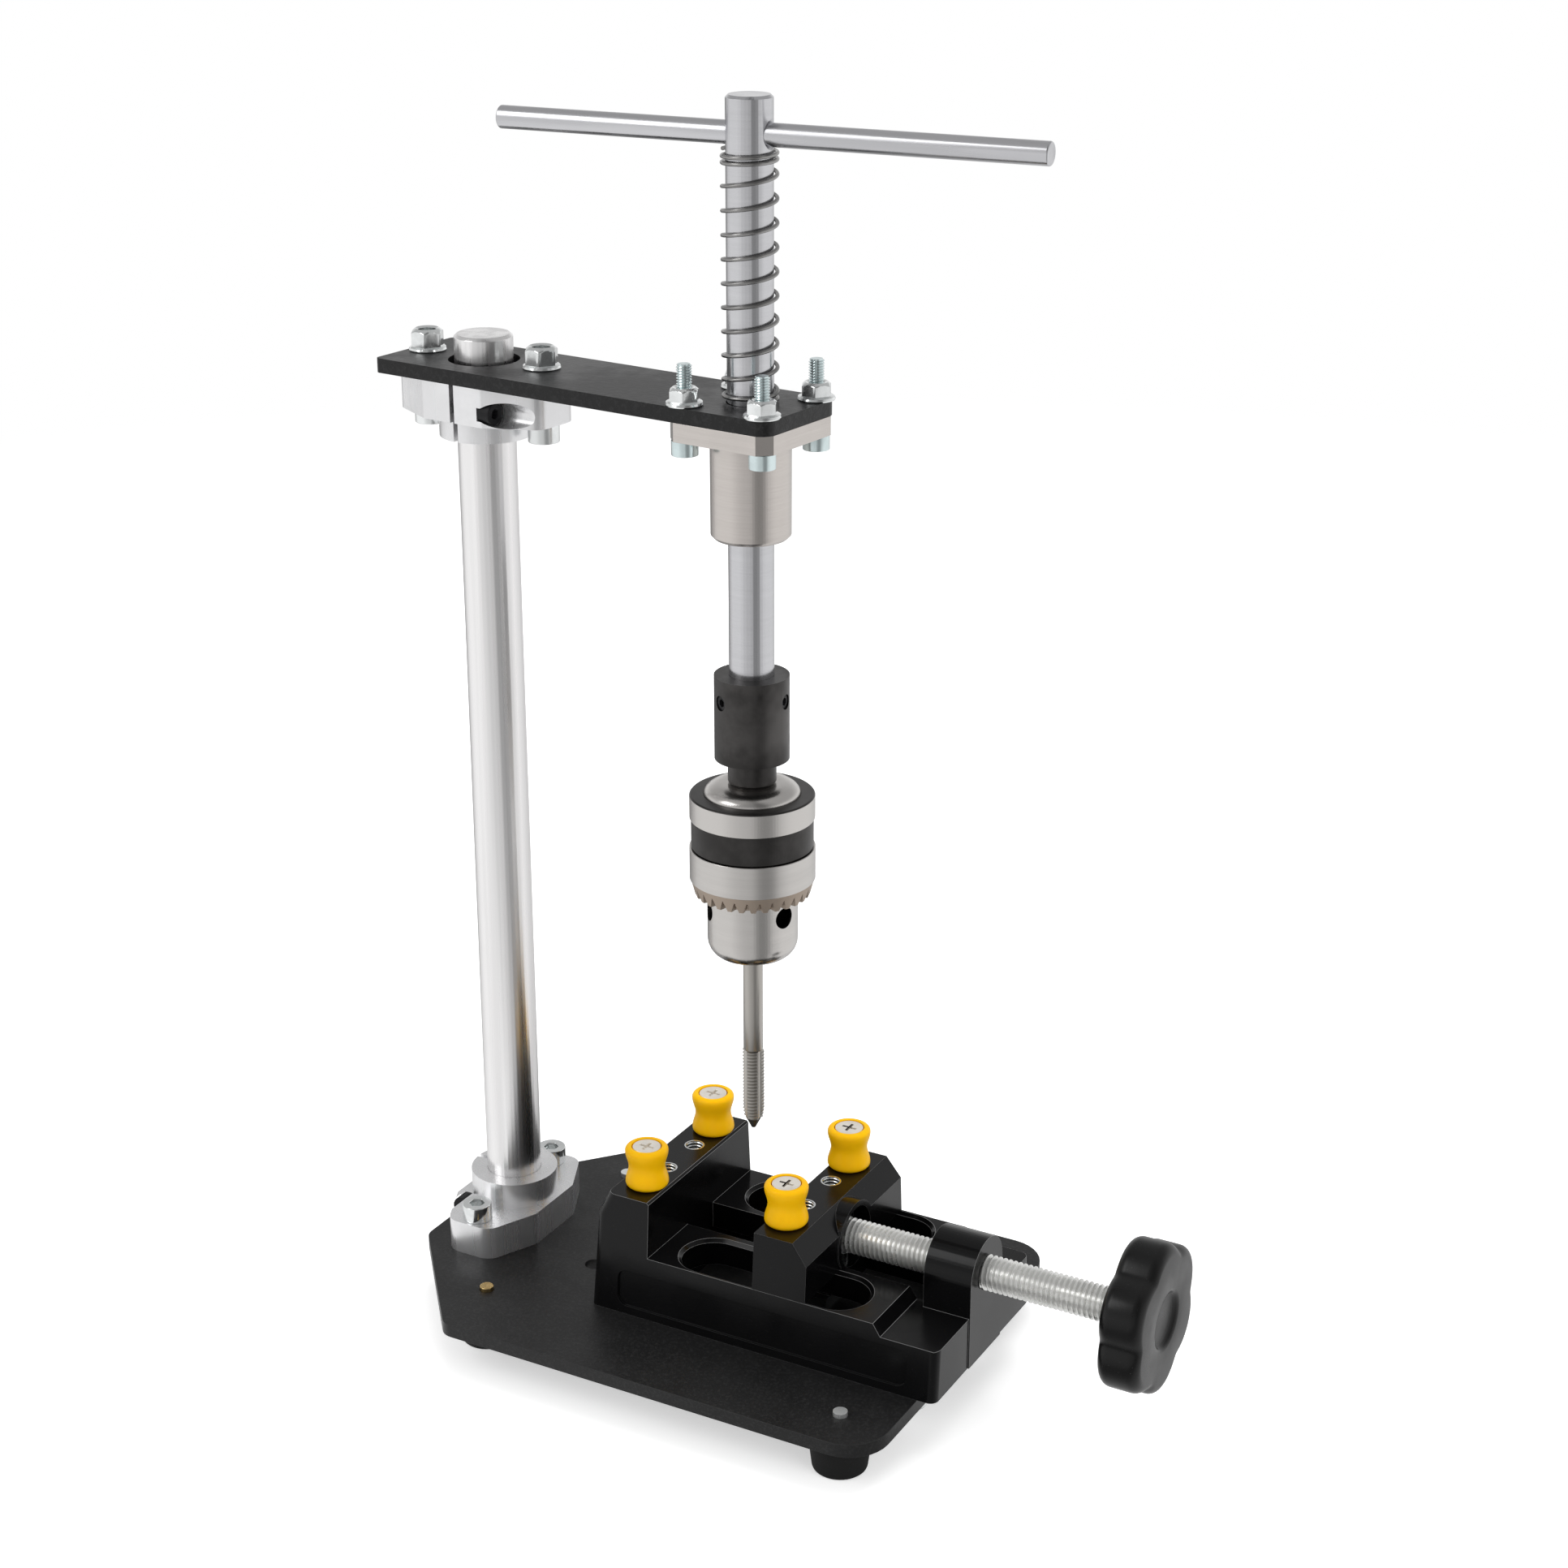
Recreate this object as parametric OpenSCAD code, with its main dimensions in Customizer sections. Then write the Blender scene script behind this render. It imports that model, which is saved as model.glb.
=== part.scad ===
// Tapping stand: a steel base plate with a screw vise and a round column. An arm on the
// column guides a sprung spindle, which carries a key chuck and a tap over the vise.
// The X axis runs from the column to the vise knob and Z = 0 is the bench.

/* [Overall] */
// Angle of the arm about the column, seen from above
arm_swing = -6; // [-10:0.5:-2]
// Distance from the column axis to the spindle axis
reach = 88; // [86:0.5:90]

/* [Base plate] */
// Thickness of the base plate
plate_t = 4; // [3:0.5:6]
// Width of the base plate across its wide part
plate_w = 120; // [112:1:130]
// Width of the plate's narrow end behind the column
plate_narrow_w = 41; // [36:1:56]
// Distance from the column axis to the narrow end
plate_back = 18; // [16:1:24]
// Distance from the column axis to the end under the knob
plate_front = 150; // [146:1:154]
// Where the slanted edges meet the straight sides
plate_slant_x = 15; // [10:1:24]
// Corner radius of the wide end
plate_corner_r = 12; // [4:1:18]
// Distance between the two accessory holes in the plate
plate_hole_gap = 24; // [18:1:30]
// Diameter of the two accessory holes
plate_hole_d = 5.5; // [4:0.5:7]

/* [Feet] */
// Height of the rubber feet
foot_h = 12; // [10:1:16]
// Diameter of a foot at the plate
foot_top_d = 18; // [16:1:22]
// Diameter of a foot at the bench
foot_bottom_d = 15; // [13:1:16]
// Distance between the wide pair of feet
feet_front_gap = 94; // [86:1:98]
// Distance between the narrow pair of feet
feet_back_gap = 77.4; // [72:0.2:80]

/* [Column] */
// Diameter of the column
column_d = 16; // [14:0.5:18]
// Length of the column
column_len = 270; // [256:1:290]
// Part of the column that stands above the arm
column_above = 7; // [6:0.5:12]
// Length of both column clamps along their two screws
clamp_len = 50; // [48:1:54]
// Width of both column clamps
clamp_w = 28; // [26:0.5:31]
// Diameter of the round boss of both clamps
clamp_boss_d = 25.6; // [24:0.2:27]
// Distance between the two screws of a clamp
clamp_screw_gap = 40; // [38:0.5:42]
// Flange thickness of the lower clamp
base_flange_t = 10; // [8:0.5:12]
// Total height of the lower clamp
base_clamp_h = 18; // [16:0.5:22]
// Flange thickness of the arm's clamp
arm_flange_t = 11; // [9:0.5:12]
// Total height of the arm's clamp
arm_clamp_h = 16.5; // [15:0.5:22]
// Width of the clamping slot
clamp_slot = 1.5; // [1:0.1:2]

/* [Arm] */
// Thickness of the arm plate
arm_t = 4; // [3:0.5:5]
// Width of the arm plate
arm_w = 32; // [30:0.5:38]
// Part of the arm behind the column axis
arm_back = 25; // [25:0.5:30]
// Part of the arm beyond the spindle axis
arm_front = 16; // [15:0.5:20]
// Side of the square flange of the guide bush
guide_square = 32; // [31:0.5:36]
// Flange thickness of the guide bush
guide_flange_t = 5; // [4:0.5:7]
// Barrel diameter of the guide bush
guide_d = 21; // [20:0.5:23]
// Length of the guide bush below the arm
guide_len = 31.5; // [26:0.5:36]
// Distance between neighbouring screws of the guide bush
guide_screw_gap = 24; // [23.5:0.5:26]

/* [Spindle] */
// Diameter of the spindle
spindle_d = 12; // [11:0.5:12.5]
// Length of the spindle
spindle_len = 164.5; // [156:0.5:176]
// Part of the spindle above the arm
spindle_above = 76.5; // [70:0.5:84]
// Distance from the spindle's top to the handle bar's axis
bar_drop = 9.5; // [7:0.5:12]
// Diameter of the handle bar
bar_d = 5.9; // [5:0.1:7]
// Length of the handle bar
bar_len = 148.5; // [120:0.5:152]
// Distance from the spindle axis to the middle of the bar
bar_offset = 4.2; // [0:0.2:8]
// Direction of the handle bar, seen from above
bar_turn = 3.9; // [0:0.1:8]

/* [Return spring] */
// Wire diameter of the spring
spring_wire = 1.05; // [0.8:0.05:1.3]
// Outer diameter of the spring
spring_d = 14.4; // [14.2:0.1:16]
// Rise of each open turn
spring_pitch = 6.03; // [5:0.01:8]

/* [Chuck] */
// Outer diameter of the arbor
arbor_d = 20; // [18:0.5:22]
// Length of the arbor's thick part
arbor_len = 23.2; // [20:0.2:28]
// Depth of the arbor's socket for the spindle
arbor_socket = 15.3; // [12:0.1:17]
// Distance from the arbor to the chuck's top
arbor_neck = 10.1; // [8:0.1:14]
// Diameter of the chuck's sleeve
chuck_d = 33.7; // [33:0.1:36]
// Diameter of the chuck's nose
nose_d = 24.6; // [24:0.1:25.4]
// Number of teeth on the sleeve
tooth_count = 30; // [20:1:36]
// Thread size of the tap
tap_d = 6; // [5.6:0.1:7]
// Shank diameter of the tap
tap_shank_d = 5.4; // [5:0.1:5.6]
// Part of the tap below the chuck
tap_out = 53; // [44:0.5:54]

/* [Vise] */
// Distance from the column axis to the vise
vise_back = 46; // [44:0.5:48]
// Length of the cast vise base
vise_len = 109.3; // [108:0.1:114]
// Width of the vise at the base plate
vise_w = 62.2; // [60:0.2:68]
// Height of the jaws
jaw_h = 36; // [34:0.5:38]
// Width of the jaws at their top
jaw_top_w = 57; // [55:0.5:60]
// Height of the rails
rail_h = 19; // [18:0.5:20]
// Thickness of the fixed jaw with the wall behind it
fixed_jaw_t = 18.5; // [18:0.1:20]
// Thickness of the moving jaw
moving_jaw_t = 16.5; // [16:0.1:18]
// Opening between the jaws as it stands
jaw_gap = 33.8; // [20:0.2:36]
// Width of the channel between the rails
channel_w = 14.4; // [13:0.2:16]
// Diameter of the lead screw
screw_d = 10; // [9:0.5:11]
// Height of the lead screw's axis above the base plate
screw_h = 25.3; // [25:0.1:26.5]
// Width of the block that the lead screw runs through
block_w = 20.4; // [19:0.2:23]
// Length of that block along the screw
block_len = 14; // [12:0.5:20]
// Distance from the block to the knob
knob_gap = 41; // [38:0.1:46]
// Diameter across the lobes of the knob
knob_d = 44; // [40:1:48]
// Thickness of the knob
knob_t = 12.2; // [11:0.1:16]
// Number of lobes
lobe_count = 6; // [5:1:8]

/* [Pegs] */
// Diameter of a peg at its ends
peg_d = 12.3; // [10:0.1:12.6]
// Diameter of a peg at its waist
peg_waist_d = 10.4; // [8.8:0.1:12]
// Height of a peg
peg_h = 12.2; // [10:0.2:13]
// Distance between the two pegs of a jaw
peg_gap = 37.4; // [34:0.2:40]
// Distance between the two spare holes of a jaw
spare_gap = 15.4; // [14:0.2:20]
// Diameter of the spare holes
spare_d = 5; // [3:0.2:5.6]

/* [Hidden] */

// Clearances and the overrun that every cut uses
press_gap = 0.03;
run_gap = 0.05;
part_gap = 0.3;
over = 1;
$fn = 64;

// Fasteners
screw4_d = 4;
head4_d = 7;
head4_h = 4;
socket4_af = 3;
socket4_depth = 2.2;
screw5_d = 5;
head5_d = 8.6;
head5_h = 5;
socket5_af = 4;
socket5_depth = 2.8;
nut_af = 7.1;
nut_flange_d = 9.8;
nut_flange_t = 1.2;
nut_h = 4.6;
clamp_nut_h = 6;
clamp_nut_af = 8;
clamp_nut_flange_d = 10.4;

// Base plate and feet
plate_end_r = 5;
foot_front_x = 135;
foot_back_x = 15.5;
foot_recess_d = 9;
foot_recess_h = 6;
foot_hole_gap = 0.3;
foot_tip = 1.2;
plate_hole_x = 35.3;
plate_top = foot_h + plate_t;

// Column and its clamps
column_top = plate_top + column_len;
column_chamfer = 0.8;
clamp_flat = 20;
clamp_end_w = 14;
clamp_end_r = 5;
clamp_flat_r = 2;
clamp_screw_y = 11;
clamp_screw_d = 3.4;
clamp_head_d = 6;
clamp_head_h = 4;
clamp_pocket_x = 8.6;
clamp_pocket_d = 7;
clamp_tail = 9;
clamp_socket_af = 2.5;
clamp_height_share = 0.68;

// Arm and guide bush
arm_top = column_top - column_above;
arm_bottom = arm_top - arm_t;
arm_column_hole_d = column_d + 2.3 * clamp_slot;
arm_spindle_hole_d = spindle_d + 2 * part_gap;
arm_back_r = 1.5;
arm_front_r = 4;
clamp_bolt_len = 18;
guide_chamfer = 3.3;
barrel_chamfer = 1;
guide_screw_len = 19.5;
liner_d = 18;
wiper_t = 2;
wiper_step = 0.4;

// Spindle stack, from the top down
spindle_top = arm_top + spindle_above;
spindle_chamfer = 0.7;
bar_z = spindle_top - bar_drop;
bar_mouth_d = 8.4;
bar_mouth_depth = 0.9;
bar_chamfer = 0.3;
spindle_bottom = spindle_top - spindle_len;
arbor_top = spindle_bottom + arbor_socket;
arbor_bottom = arbor_top - arbor_len;
neck_d = 13;
grub_drop = 6.3;
grub_d = 4;
grub_turn = -117;
grub_sink = 0.5;
grub_af = 2;
taper_top_d = 12.06;
taper_bottom_d = 11.14;
taper_len = 18.5;

// Spring
spring_low = arm_top + part_gap;
spring_high = bar_z - bar_d / 2 - part_gap;
closed_pitch = spring_wire + 0.5 * spring_wire;
closed_low_turns = 1;
closed_high_turns = 2;

// Chuck, from the top down
chuck_top = arbor_bottom - arbor_neck;
hub_rise = 3;
hub_top = chuck_top + hub_rise;
hub_lip_d = 14.6;
socket_floor = 4;
ring_h = 14.75;
ring_bottom = chuck_top - ring_h;
hub_d = 26;
band_top_drop = 6.65;
band_step = 0.4;
sleeve_top = ring_bottom - part_gap;
sleeve_len = 13.4;
sleeve_bottom = sleeve_top - sleeve_len;
tooth_h = 4.35;
tooth_edge_d = 33.9;
tooth_low_d = 31.7;
tooth_notch_d = 30.4;
tooth_notch_w = 1.7;
tooth_notch_tip = 0.4;
tooth_notch_h = 2.1;
nut_step = 1.45;
nut_bottom = sleeve_bottom + nut_step;
nut_height = 5;
nut_top = nut_bottom + nut_height;
nut_d = 29.6;
groove_d = 21.2;
nose_len = 18.35;
nose_bottom = sleeve_bottom - nose_len;
nose_round_h = 5.2;
nose_tip_d = 15;
round_steps = 6;
bore_d = 12;
key_hole_d = 6;
key_hole_depth = 5;
key_hole_h = 14.1;
key_turn = -16.5;
jaw_turn = key_turn + 60;
jaw_d = 6;
jaw_lean = 14;
jaw_tip_x = 3;

// Tap
tap_bottom = nose_bottom - tap_out;
tap_thread_len = 23.3;
tap_lead = 2.6;
tap_point_len = 3.2;
tap_point_d = 1.2;
tap_total = 68;
flute_count = 3;
flute_d = 2.8;
flute_x = 3.3;

// Vise base
fixed_lean = 1.5;
fixed_chamfer_x = 3.4;
fixed_chamfer_h = 6.5;
fixed_bevel = 0.6;
rail_step = 3.4;
rail_step_x = 2.4;
rail_flat_end = 19.6;
rail_t = 8;
slot_w = 18;
slot_len = 57.7;
slot_inset = 6.5;
slot_y = 19.2;
slot_bevel = 1;
cavity_side = 5;
cavity_front = 22;
panel_depth = 0.9;
panel_edge = 9;
panel_h = 11;
panel_low = 2.6;
panel_r = 3;
mount_screw_gap = 40;
mount_screw_back = 9.5;
mount_screw_front = 12;
mount_screw_len = 14;

// Vise places
vise_x = vise_back;
jaw_face_x = vise_x + fixed_jaw_t;
moving_x = jaw_face_x + jaw_gap;
moving_back_x = moving_x + moving_jaw_t;
vise_end_x = vise_x + vise_len;
block_x = vise_end_x - block_len;
block_proud = 0.4;
rail_z = plate_top + rail_h;
rail_under_z = rail_z - rail_t;
jaw_z = plate_top + jaw_h;
screw_z = plate_top + screw_h;
knob_x = vise_end_x + knob_gap;
side_draft = (vise_w - jaw_top_w) / 2 / jaw_h;

// Moving jaw, its keeper and the lead screw
moving_chamfer_x = 4.5;
moving_chamfer_h = 6;
tongue_gap = 0.2;
keeper_w = 26;
keeper_len = 12;
keeper_t = 4;
keeper_screw_d = 3;
keeper_head_d = 5.6;
keeper_head_h = 2;
keeper_screw_deep = 9;
keeper_screw_inset = 3.4;
keeper_af = 2;
jaw_boss_d = 21;
jaw_boss_out = 0.4;
scoop_d = 17.8;
scoop_depth = 5;
journal_d = 8;
journal_len = 8.2;
groove_floor_d = 5.8;
pin_d = 3;
pin_inset = 3.4;
thread_gap = 0.06;
screw_in_knob = 8.5;

// Knob
lobe_d = 20;
knob_core_d = 34;
knob_recess_d = 16;
knob_recess_depth = 1.5;
knob_edge = 2;

// Pegs
peg_recess_d = 8.6;
peg_recess_depth = 2.2;
peg_rim = 1.3;
peg_steps = 16;
peg_head_d = 8;
peg_head_h = 2;
peg_screw_deep = 9;
peg_slot_w = 0.9;
peg_slot_l = 4.4;
peg_slot_depth = 1;
fixed_peg_share = 0.54;
moving_peg_share = 0.4;
fixed_top_x = vise_x + fixed_lean + fixed_chamfer_x;
fixed_peg_x = fixed_top_x + (jaw_face_x - fixed_top_x) * fixed_peg_share;
moving_peg_x = moving_x + (moving_jaw_t - moving_chamfer_x) * moving_peg_share;

// The origin lies under the middle of the whole stand
arm_corner_x = (arm_back - arm_back_r) * cos(arm_swing);
arm_corner_y = (arm_w / 2 - arm_back_r) * abs(sin(arm_swing));
stand_left = -(arm_corner_x + arm_corner_y + arm_back_r);
stand_right = knob_x + knob_t;
shift_x = -(stand_left + stand_right) / 2;

// Frames of the column, the arm and the spindle
module at_column() translate([shift_x, 0, 0]) children();
module at_arm() at_column() rotate([0, 0, arm_swing]) children();
module at_spindle() at_arm() translate([reach, 0, 0]) children();

// A pair of copies with a given distance between them
// Quarter curve from a flat at the inner radius to a side at the outer one
function rounding(inner, outer, flat_z, side_z) = [for (i = [0 : round_steps])
  let (a = 90 * i / round_steps) [inner + (outer - inner) * sin(a), flat_z + (side_z - flat_z) * (1 - cos(a))]];
function reversed(list) = [for (i = [len(list) - 1 : -1 : 0]) list[i]];

module both_y(gap) for (side = [-1, 1]) translate([0, side * gap / 2, 0]) children();
module both_x(gap) for (side = [-1, 1]) translate([side * gap / 2, 0, 0]) children();

// An outline with a rounded corner at each point [x, y, radius]
function unit(v) = v / norm(v);
function arc_point(centre, r, angle) = centre + r * [cos(angle), sin(angle)];
function corner(a, b, c, r) =
  let (u = unit(a - b), w = unit(c - b), half = acos(u * w) / 2,
    centre = b + unit(u + w) * (r / sin(half)),
    from = b + u * (r / tan(half)) - centre, to = b + w * (r / tan(half)) - centre,
    first = atan2(from[1], from[0]), turn = atan2(to[1], to[0]) - first,
    sweep = turn > 180 ? turn - 360 : turn < -180 ? turn + 360 : turn)
  [for (i = [0 : 8]) arc_point(centre, r, first + sweep * i / 8)];
function flat2(p) = [p[0], p[1]];
function rounded(points) =
  let (n = len(points))
  [for (i = [0 : n - 1])
    each corner(flat2(points[(i + n - 1) % n]), flat2(points[i]), flat2(points[(i + 1) % n]), points[i][2])];

// A socket head screw that points down from its head at z = 0
module cap_screw(shank_d, length, head_d, head_h, socket_af, socket_depth) {
  difference() {
    union() {
      translate([0, 0, -length]) cylinder(d = shank_d, h = length + head_h / 2);
      cylinder(d = head_d, h = head_h);
    }
    translate([0, 0, head_h - socket_depth])
      cylinder(d = socket_af / cos(30), h = socket_depth + over, $fn = 6);
  }
}

// A flange nut on z = 0
module flange_nut(across, flange_d, height, bore) {
  difference() {
    union() {
      cylinder(d = flange_d, h = nut_flange_t);
      cylinder(d = across / cos(30), h = height, $fn = 6);
    }
    translate([0, 0, -over]) cylinder(d = bore + 2 * run_gap, h = height + 2 * over);
  }
}

// Base plate with its threaded holes
module plate_outline() {
  half = plate_w / 2;
  narrow = plate_narrow_w / 2;
  polygon(rounded([
    [-plate_back, -narrow, plate_end_r], [plate_slant_x, -half, plate_end_r],
    [plate_front, -half, plate_corner_r], [plate_front, half, plate_corner_r],
    [plate_slant_x, half, plate_end_r], [-plate_back, narrow, plate_end_r]]));
}

module at_feet() {
  translate([foot_front_x, 0, 0]) both_y(feet_front_gap) children();
  translate([foot_back_x, 0, 0]) both_y(feet_back_gap) children();
}

module base_plate() color("dimgray") at_column() {
  difference() {
    translate([0, 0, foot_h]) linear_extrude(plate_t) plate_outline();
    translate([0, 0, foot_h - over]) {
      at_feet() cylinder(d = screw4_d + 2 * run_gap, h = plate_t + 2 * over);
      both_y(clamp_screw_gap) cylinder(d = screw5_d + 2 * run_gap, h = plate_t + 2 * over);
      translate([plate_hole_x, 0, 0]) both_y(plate_hole_gap)
        cylinder(d = plate_hole_d, h = plate_t + 2 * over);
      at_vise_screws() cylinder(d = screw5_d + 2 * part_gap, h = plate_t + 2 * over);
    }
  }
}

// Feet with a recess for the screw head
module feet() color([0.12, 0.12, 0.12]) at_column() at_feet() difference() {
  cylinder(d1 = foot_bottom_d, d2 = foot_top_d, h = foot_h);
  translate([0, 0, -over]) cylinder(d = foot_recess_d, h = foot_recess_h + over);
  translate([0, 0, -over]) cylinder(d = screw4_d + 2 * foot_hole_gap, h = foot_h + 2 * over);
}

module foot_screw() translate([0, 0, foot_recess_h]) mirror([0, 0, 1])
  cap_screw(screw4_d, foot_h - foot_recess_h + plate_t + foot_tip, head4_d, head4_h,
    socket4_af, socket4_depth);

module foot_screws() color("lightslategray") at_column() {
  translate([foot_front_x, 0, 0]) both_y(feet_front_gap) foot_screw();
  translate([foot_back_x, feet_back_gap / 2, 0]) foot_screw();
}

module foot_screw_brass() color("goldenrod") at_column()
  translate([foot_back_x, -feet_back_gap / 2, 0]) foot_screw();

// A column clamp on z = 0, long axis along X, with its slot on the -Y side
module clamp_outline() {
  x = clamp_len / 2;
  flat = clamp_flat / 2;
  y = clamp_w / 2;
  tip = clamp_end_w / 2;
  polygon(rounded([
    [-x, -tip, clamp_end_r], [-flat, -y, clamp_flat_r], [flat, -y, clamp_flat_r],
    [x, -tip, clamp_end_r], [x, tip, clamp_end_r], [flat, y, clamp_flat_r],
    [-flat, y, clamp_flat_r], [-x, tip, clamp_end_r]]));
}

module column_clamp(flange_t, height) {
  difference() {
    union() {
      linear_extrude(flange_t) clamp_outline();
      cylinder(d = clamp_boss_d, h = height);
    }
    translate([0, 0, -over]) {
      cylinder(d = column_d + 2 * run_gap, h = height + 2 * over, $fn = 96);
      both_x(clamp_screw_gap) cylinder(d = screw5_d + 2 * part_gap, h = flange_t + 2 * over);
      translate([-clamp_slot / 2, -clamp_w, 0]) cube([clamp_slot, clamp_w, height + 2 * over]);
    }
    translate([0, -clamp_screw_y, flange_t * clamp_height_share]) rotate([0, 90, 0]) {
      translate([0, 0, -clamp_tail - part_gap])
        cylinder(d = clamp_screw_d + 2 * run_gap, h = clamp_tail + clamp_pocket_x + over);
      translate([0, 0, clamp_pocket_x]) cylinder(d = clamp_pocket_d, h = clamp_len);
    }
  }
}

module clamp_side_screw(flange_t)
  translate([clamp_pocket_x, -clamp_screw_y, flange_t * clamp_height_share]) rotate([0, 90, 0])
    cap_screw(clamp_screw_d, clamp_pocket_x + clamp_tail, clamp_head_d, clamp_head_h,
      clamp_socket_af, clamp_head_h / 2);

module at_base_clamp() at_column() translate([0, 0, plate_top]) rotate([0, 0, -90]) children();
module at_arm_clamp() at_arm() translate([0, 0, arm_bottom]) mirror([0, 0, 1]) children();

module column_flange() color("silver") at_base_clamp() column_clamp(base_flange_t, base_clamp_h);

module column_flange_screws() color("gainsboro") at_base_clamp() both_x(clamp_screw_gap)
  translate([0, 0, base_flange_t]) cap_screw(screw5_d, base_flange_t + plate_t, head5_d, head5_h,
    socket5_af, socket5_depth);

module column_clamp_screw() color([0.15, 0.15, 0.16]) at_base_clamp() clamp_side_screw(base_flange_t);

module column() color("gainsboro") at_column() {
  r = column_d / 2;
  rotate_extrude($fn = 96) polygon([
    [0, plate_top], [r, plate_top], [r, column_top - column_chamfer],
    [r - column_chamfer, column_top], [0, column_top]]);
}

// Arm plate
module arm_plate() color([0.16, 0.16, 0.17]) at_arm() {
  half = arm_w / 2;
  front = reach + arm_front;
  difference() {
    translate([0, 0, arm_bottom]) linear_extrude(arm_t) polygon(rounded([
      [-arm_back, -half, arm_back_r], [front, -half, arm_front_r],
      [front, half, arm_front_r], [-arm_back, half, arm_back_r]]));
    translate([0, 0, arm_bottom - over]) {
      cylinder(d = arm_column_hole_d, h = arm_t + 2 * over);
      both_x(clamp_screw_gap) cylinder(d = screw5_d + 2 * part_gap, h = arm_t + 2 * over);
      translate([reach, 0, 0]) {
        cylinder(d = arm_spindle_hole_d, h = arm_t + 2 * over);
        at_guide_screws() cylinder(d = screw4_d + 2 * part_gap, h = arm_t + 2 * over);
      }
    }
  }
}

module arm_clamp() color("silver") at_arm_clamp() column_clamp(arm_flange_t, arm_clamp_h);
module arm_clamp_screw() color([0.15, 0.15, 0.16]) at_arm_clamp() clamp_side_screw(arm_flange_t);

module arm_clamp_bolts() color("lightslategray") at_arm_clamp() both_x(clamp_screw_gap)
  translate([0, 0, arm_flange_t]) cap_screw(screw5_d, clamp_bolt_len + part_gap, head5_d, head5_h,
    socket5_af, socket5_depth);

module arm_clamp_nuts() color("lightslategray") at_arm() translate([0, 0, arm_top])
  both_x(clamp_screw_gap) flange_nut(clamp_nut_af, clamp_nut_flange_d, clamp_nut_h, screw5_d);

// Guide bush and what fastens it
module at_guide_screws() both_x(guide_screw_gap) both_y(guide_screw_gap) children();

module guide_housing() color("silver") at_spindle() translate([0, 0, arm_bottom]) {
  half = guide_square / 2;
  cut = half - guide_chamfer;
  r = guide_d / 2;
  difference() {
    union() {
      translate([0, 0, -guide_flange_t]) linear_extrude(guide_flange_t) polygon([
        [-half, -cut], [-cut, -half], [cut, -half], [half, -cut],
        [half, cut], [cut, half], [-cut, half], [-half, cut]]);
      rotate_extrude($fn = 96) polygon([
        [0, -guide_len], [r - barrel_chamfer, -guide_len], [r, -guide_len + barrel_chamfer],
        [r, -guide_flange_t / 2], [0, -guide_flange_t / 2]]);
    }
    translate([0, 0, -guide_len - over]) cylinder(d = liner_d, h = guide_len + 2 * over);
    translate([0, 0, -guide_flange_t - over]) at_guide_screws()
      cylinder(d = screw4_d + 2 * part_gap, h = guide_flange_t + 2 * over);
  }
}

module guide_liner() color("peru") at_spindle() difference() {
  translate([0, 0, arm_bottom - guide_len + wiper_t + wiper_step])
    cylinder(d = liner_d - 2 * press_gap, h = guide_len - 2 * wiper_t - 2 * wiper_step);
  translate([0, 0, arm_bottom - guide_len]) cylinder(d = spindle_d + 2 * run_gap, h = guide_len, $fn = 96);
}

module guide_wipers() color([0.1, 0.1, 0.1]) at_spindle() difference() {
  for (z = [arm_bottom - guide_len + wiper_step, arm_bottom - wiper_t - wiper_step])
    translate([0, 0, z]) cylinder(d = liner_d - 2 * press_gap, h = wiper_t);
  translate([0, 0, arm_bottom - guide_len]) cylinder(d = spindle_d + 4 * run_gap, h = guide_len, $fn = 96);
}

module guide_screws() color("lightslategray") at_spindle() translate([0, 0, arm_bottom - guide_flange_t])
  at_guide_screws() mirror([0, 0, 1])
    cap_screw(screw4_d, guide_screw_len, head4_d, head4_h, socket4_af, socket4_depth);

module guide_nuts() color("lightslategray") at_spindle() translate([0, 0, arm_top])
  at_guide_screws() flange_nut(nut_af, nut_flange_d, nut_h, screw4_d);

// Return spring: one wire with closed turns at both ends. Its stretches between rings are
// straight, so the rings stand far enough out for the stretches to clear the spindle.
curl_rings = 8;
spring_inner_r = spring_d / 2 - spring_wire;
spring_r = spring_inner_r / cos(180 / curl_rings) + spring_wire / 2;
spring_rise = spring_high - spring_low - spring_wire;
open_turns = (spring_rise - (closed_low_turns + closed_high_turns) * closed_pitch) / spring_pitch;
spring_turns = closed_low_turns + open_turns + closed_high_turns;
spring_rings = ceil(spring_turns * curl_rings);
wire_sides = 6;
wire_slope = atan(spring_pitch / (2 * PI * spring_r));
function spring_z(turn) =
  turn < closed_low_turns ? turn * closed_pitch :
  turn < closed_low_turns + open_turns
    ? closed_low_turns * closed_pitch + (turn - closed_low_turns) * spring_pitch
    : spring_rise - (spring_turns - turn) * closed_pitch;
function wire_centre(i) =
  let (turn = spring_turns * i / spring_rings)
  [spring_r * cos(360 * turn), spring_r * sin(360 * turn), spring_low + spring_wire / 2 + spring_z(turn)];
function wire_ring(i) =
  let (angle = 360 * spring_turns * i / spring_rings, c = wire_centre(i),
    out = [cos(angle), sin(angle), 0],
    up = [sin(angle) * sin(wire_slope), -cos(angle) * sin(wire_slope), cos(wire_slope)])
  [for (s = [0 : wire_sides - 1])
    c + spring_wire / 2 * (cos(360 * s / wire_sides) * out + sin(360 * s / wire_sides) * up)];
spring_points = [for (i = [0 : spring_rings]) each wire_ring(i)];
spring_last = spring_rings * wire_sides;
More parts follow.
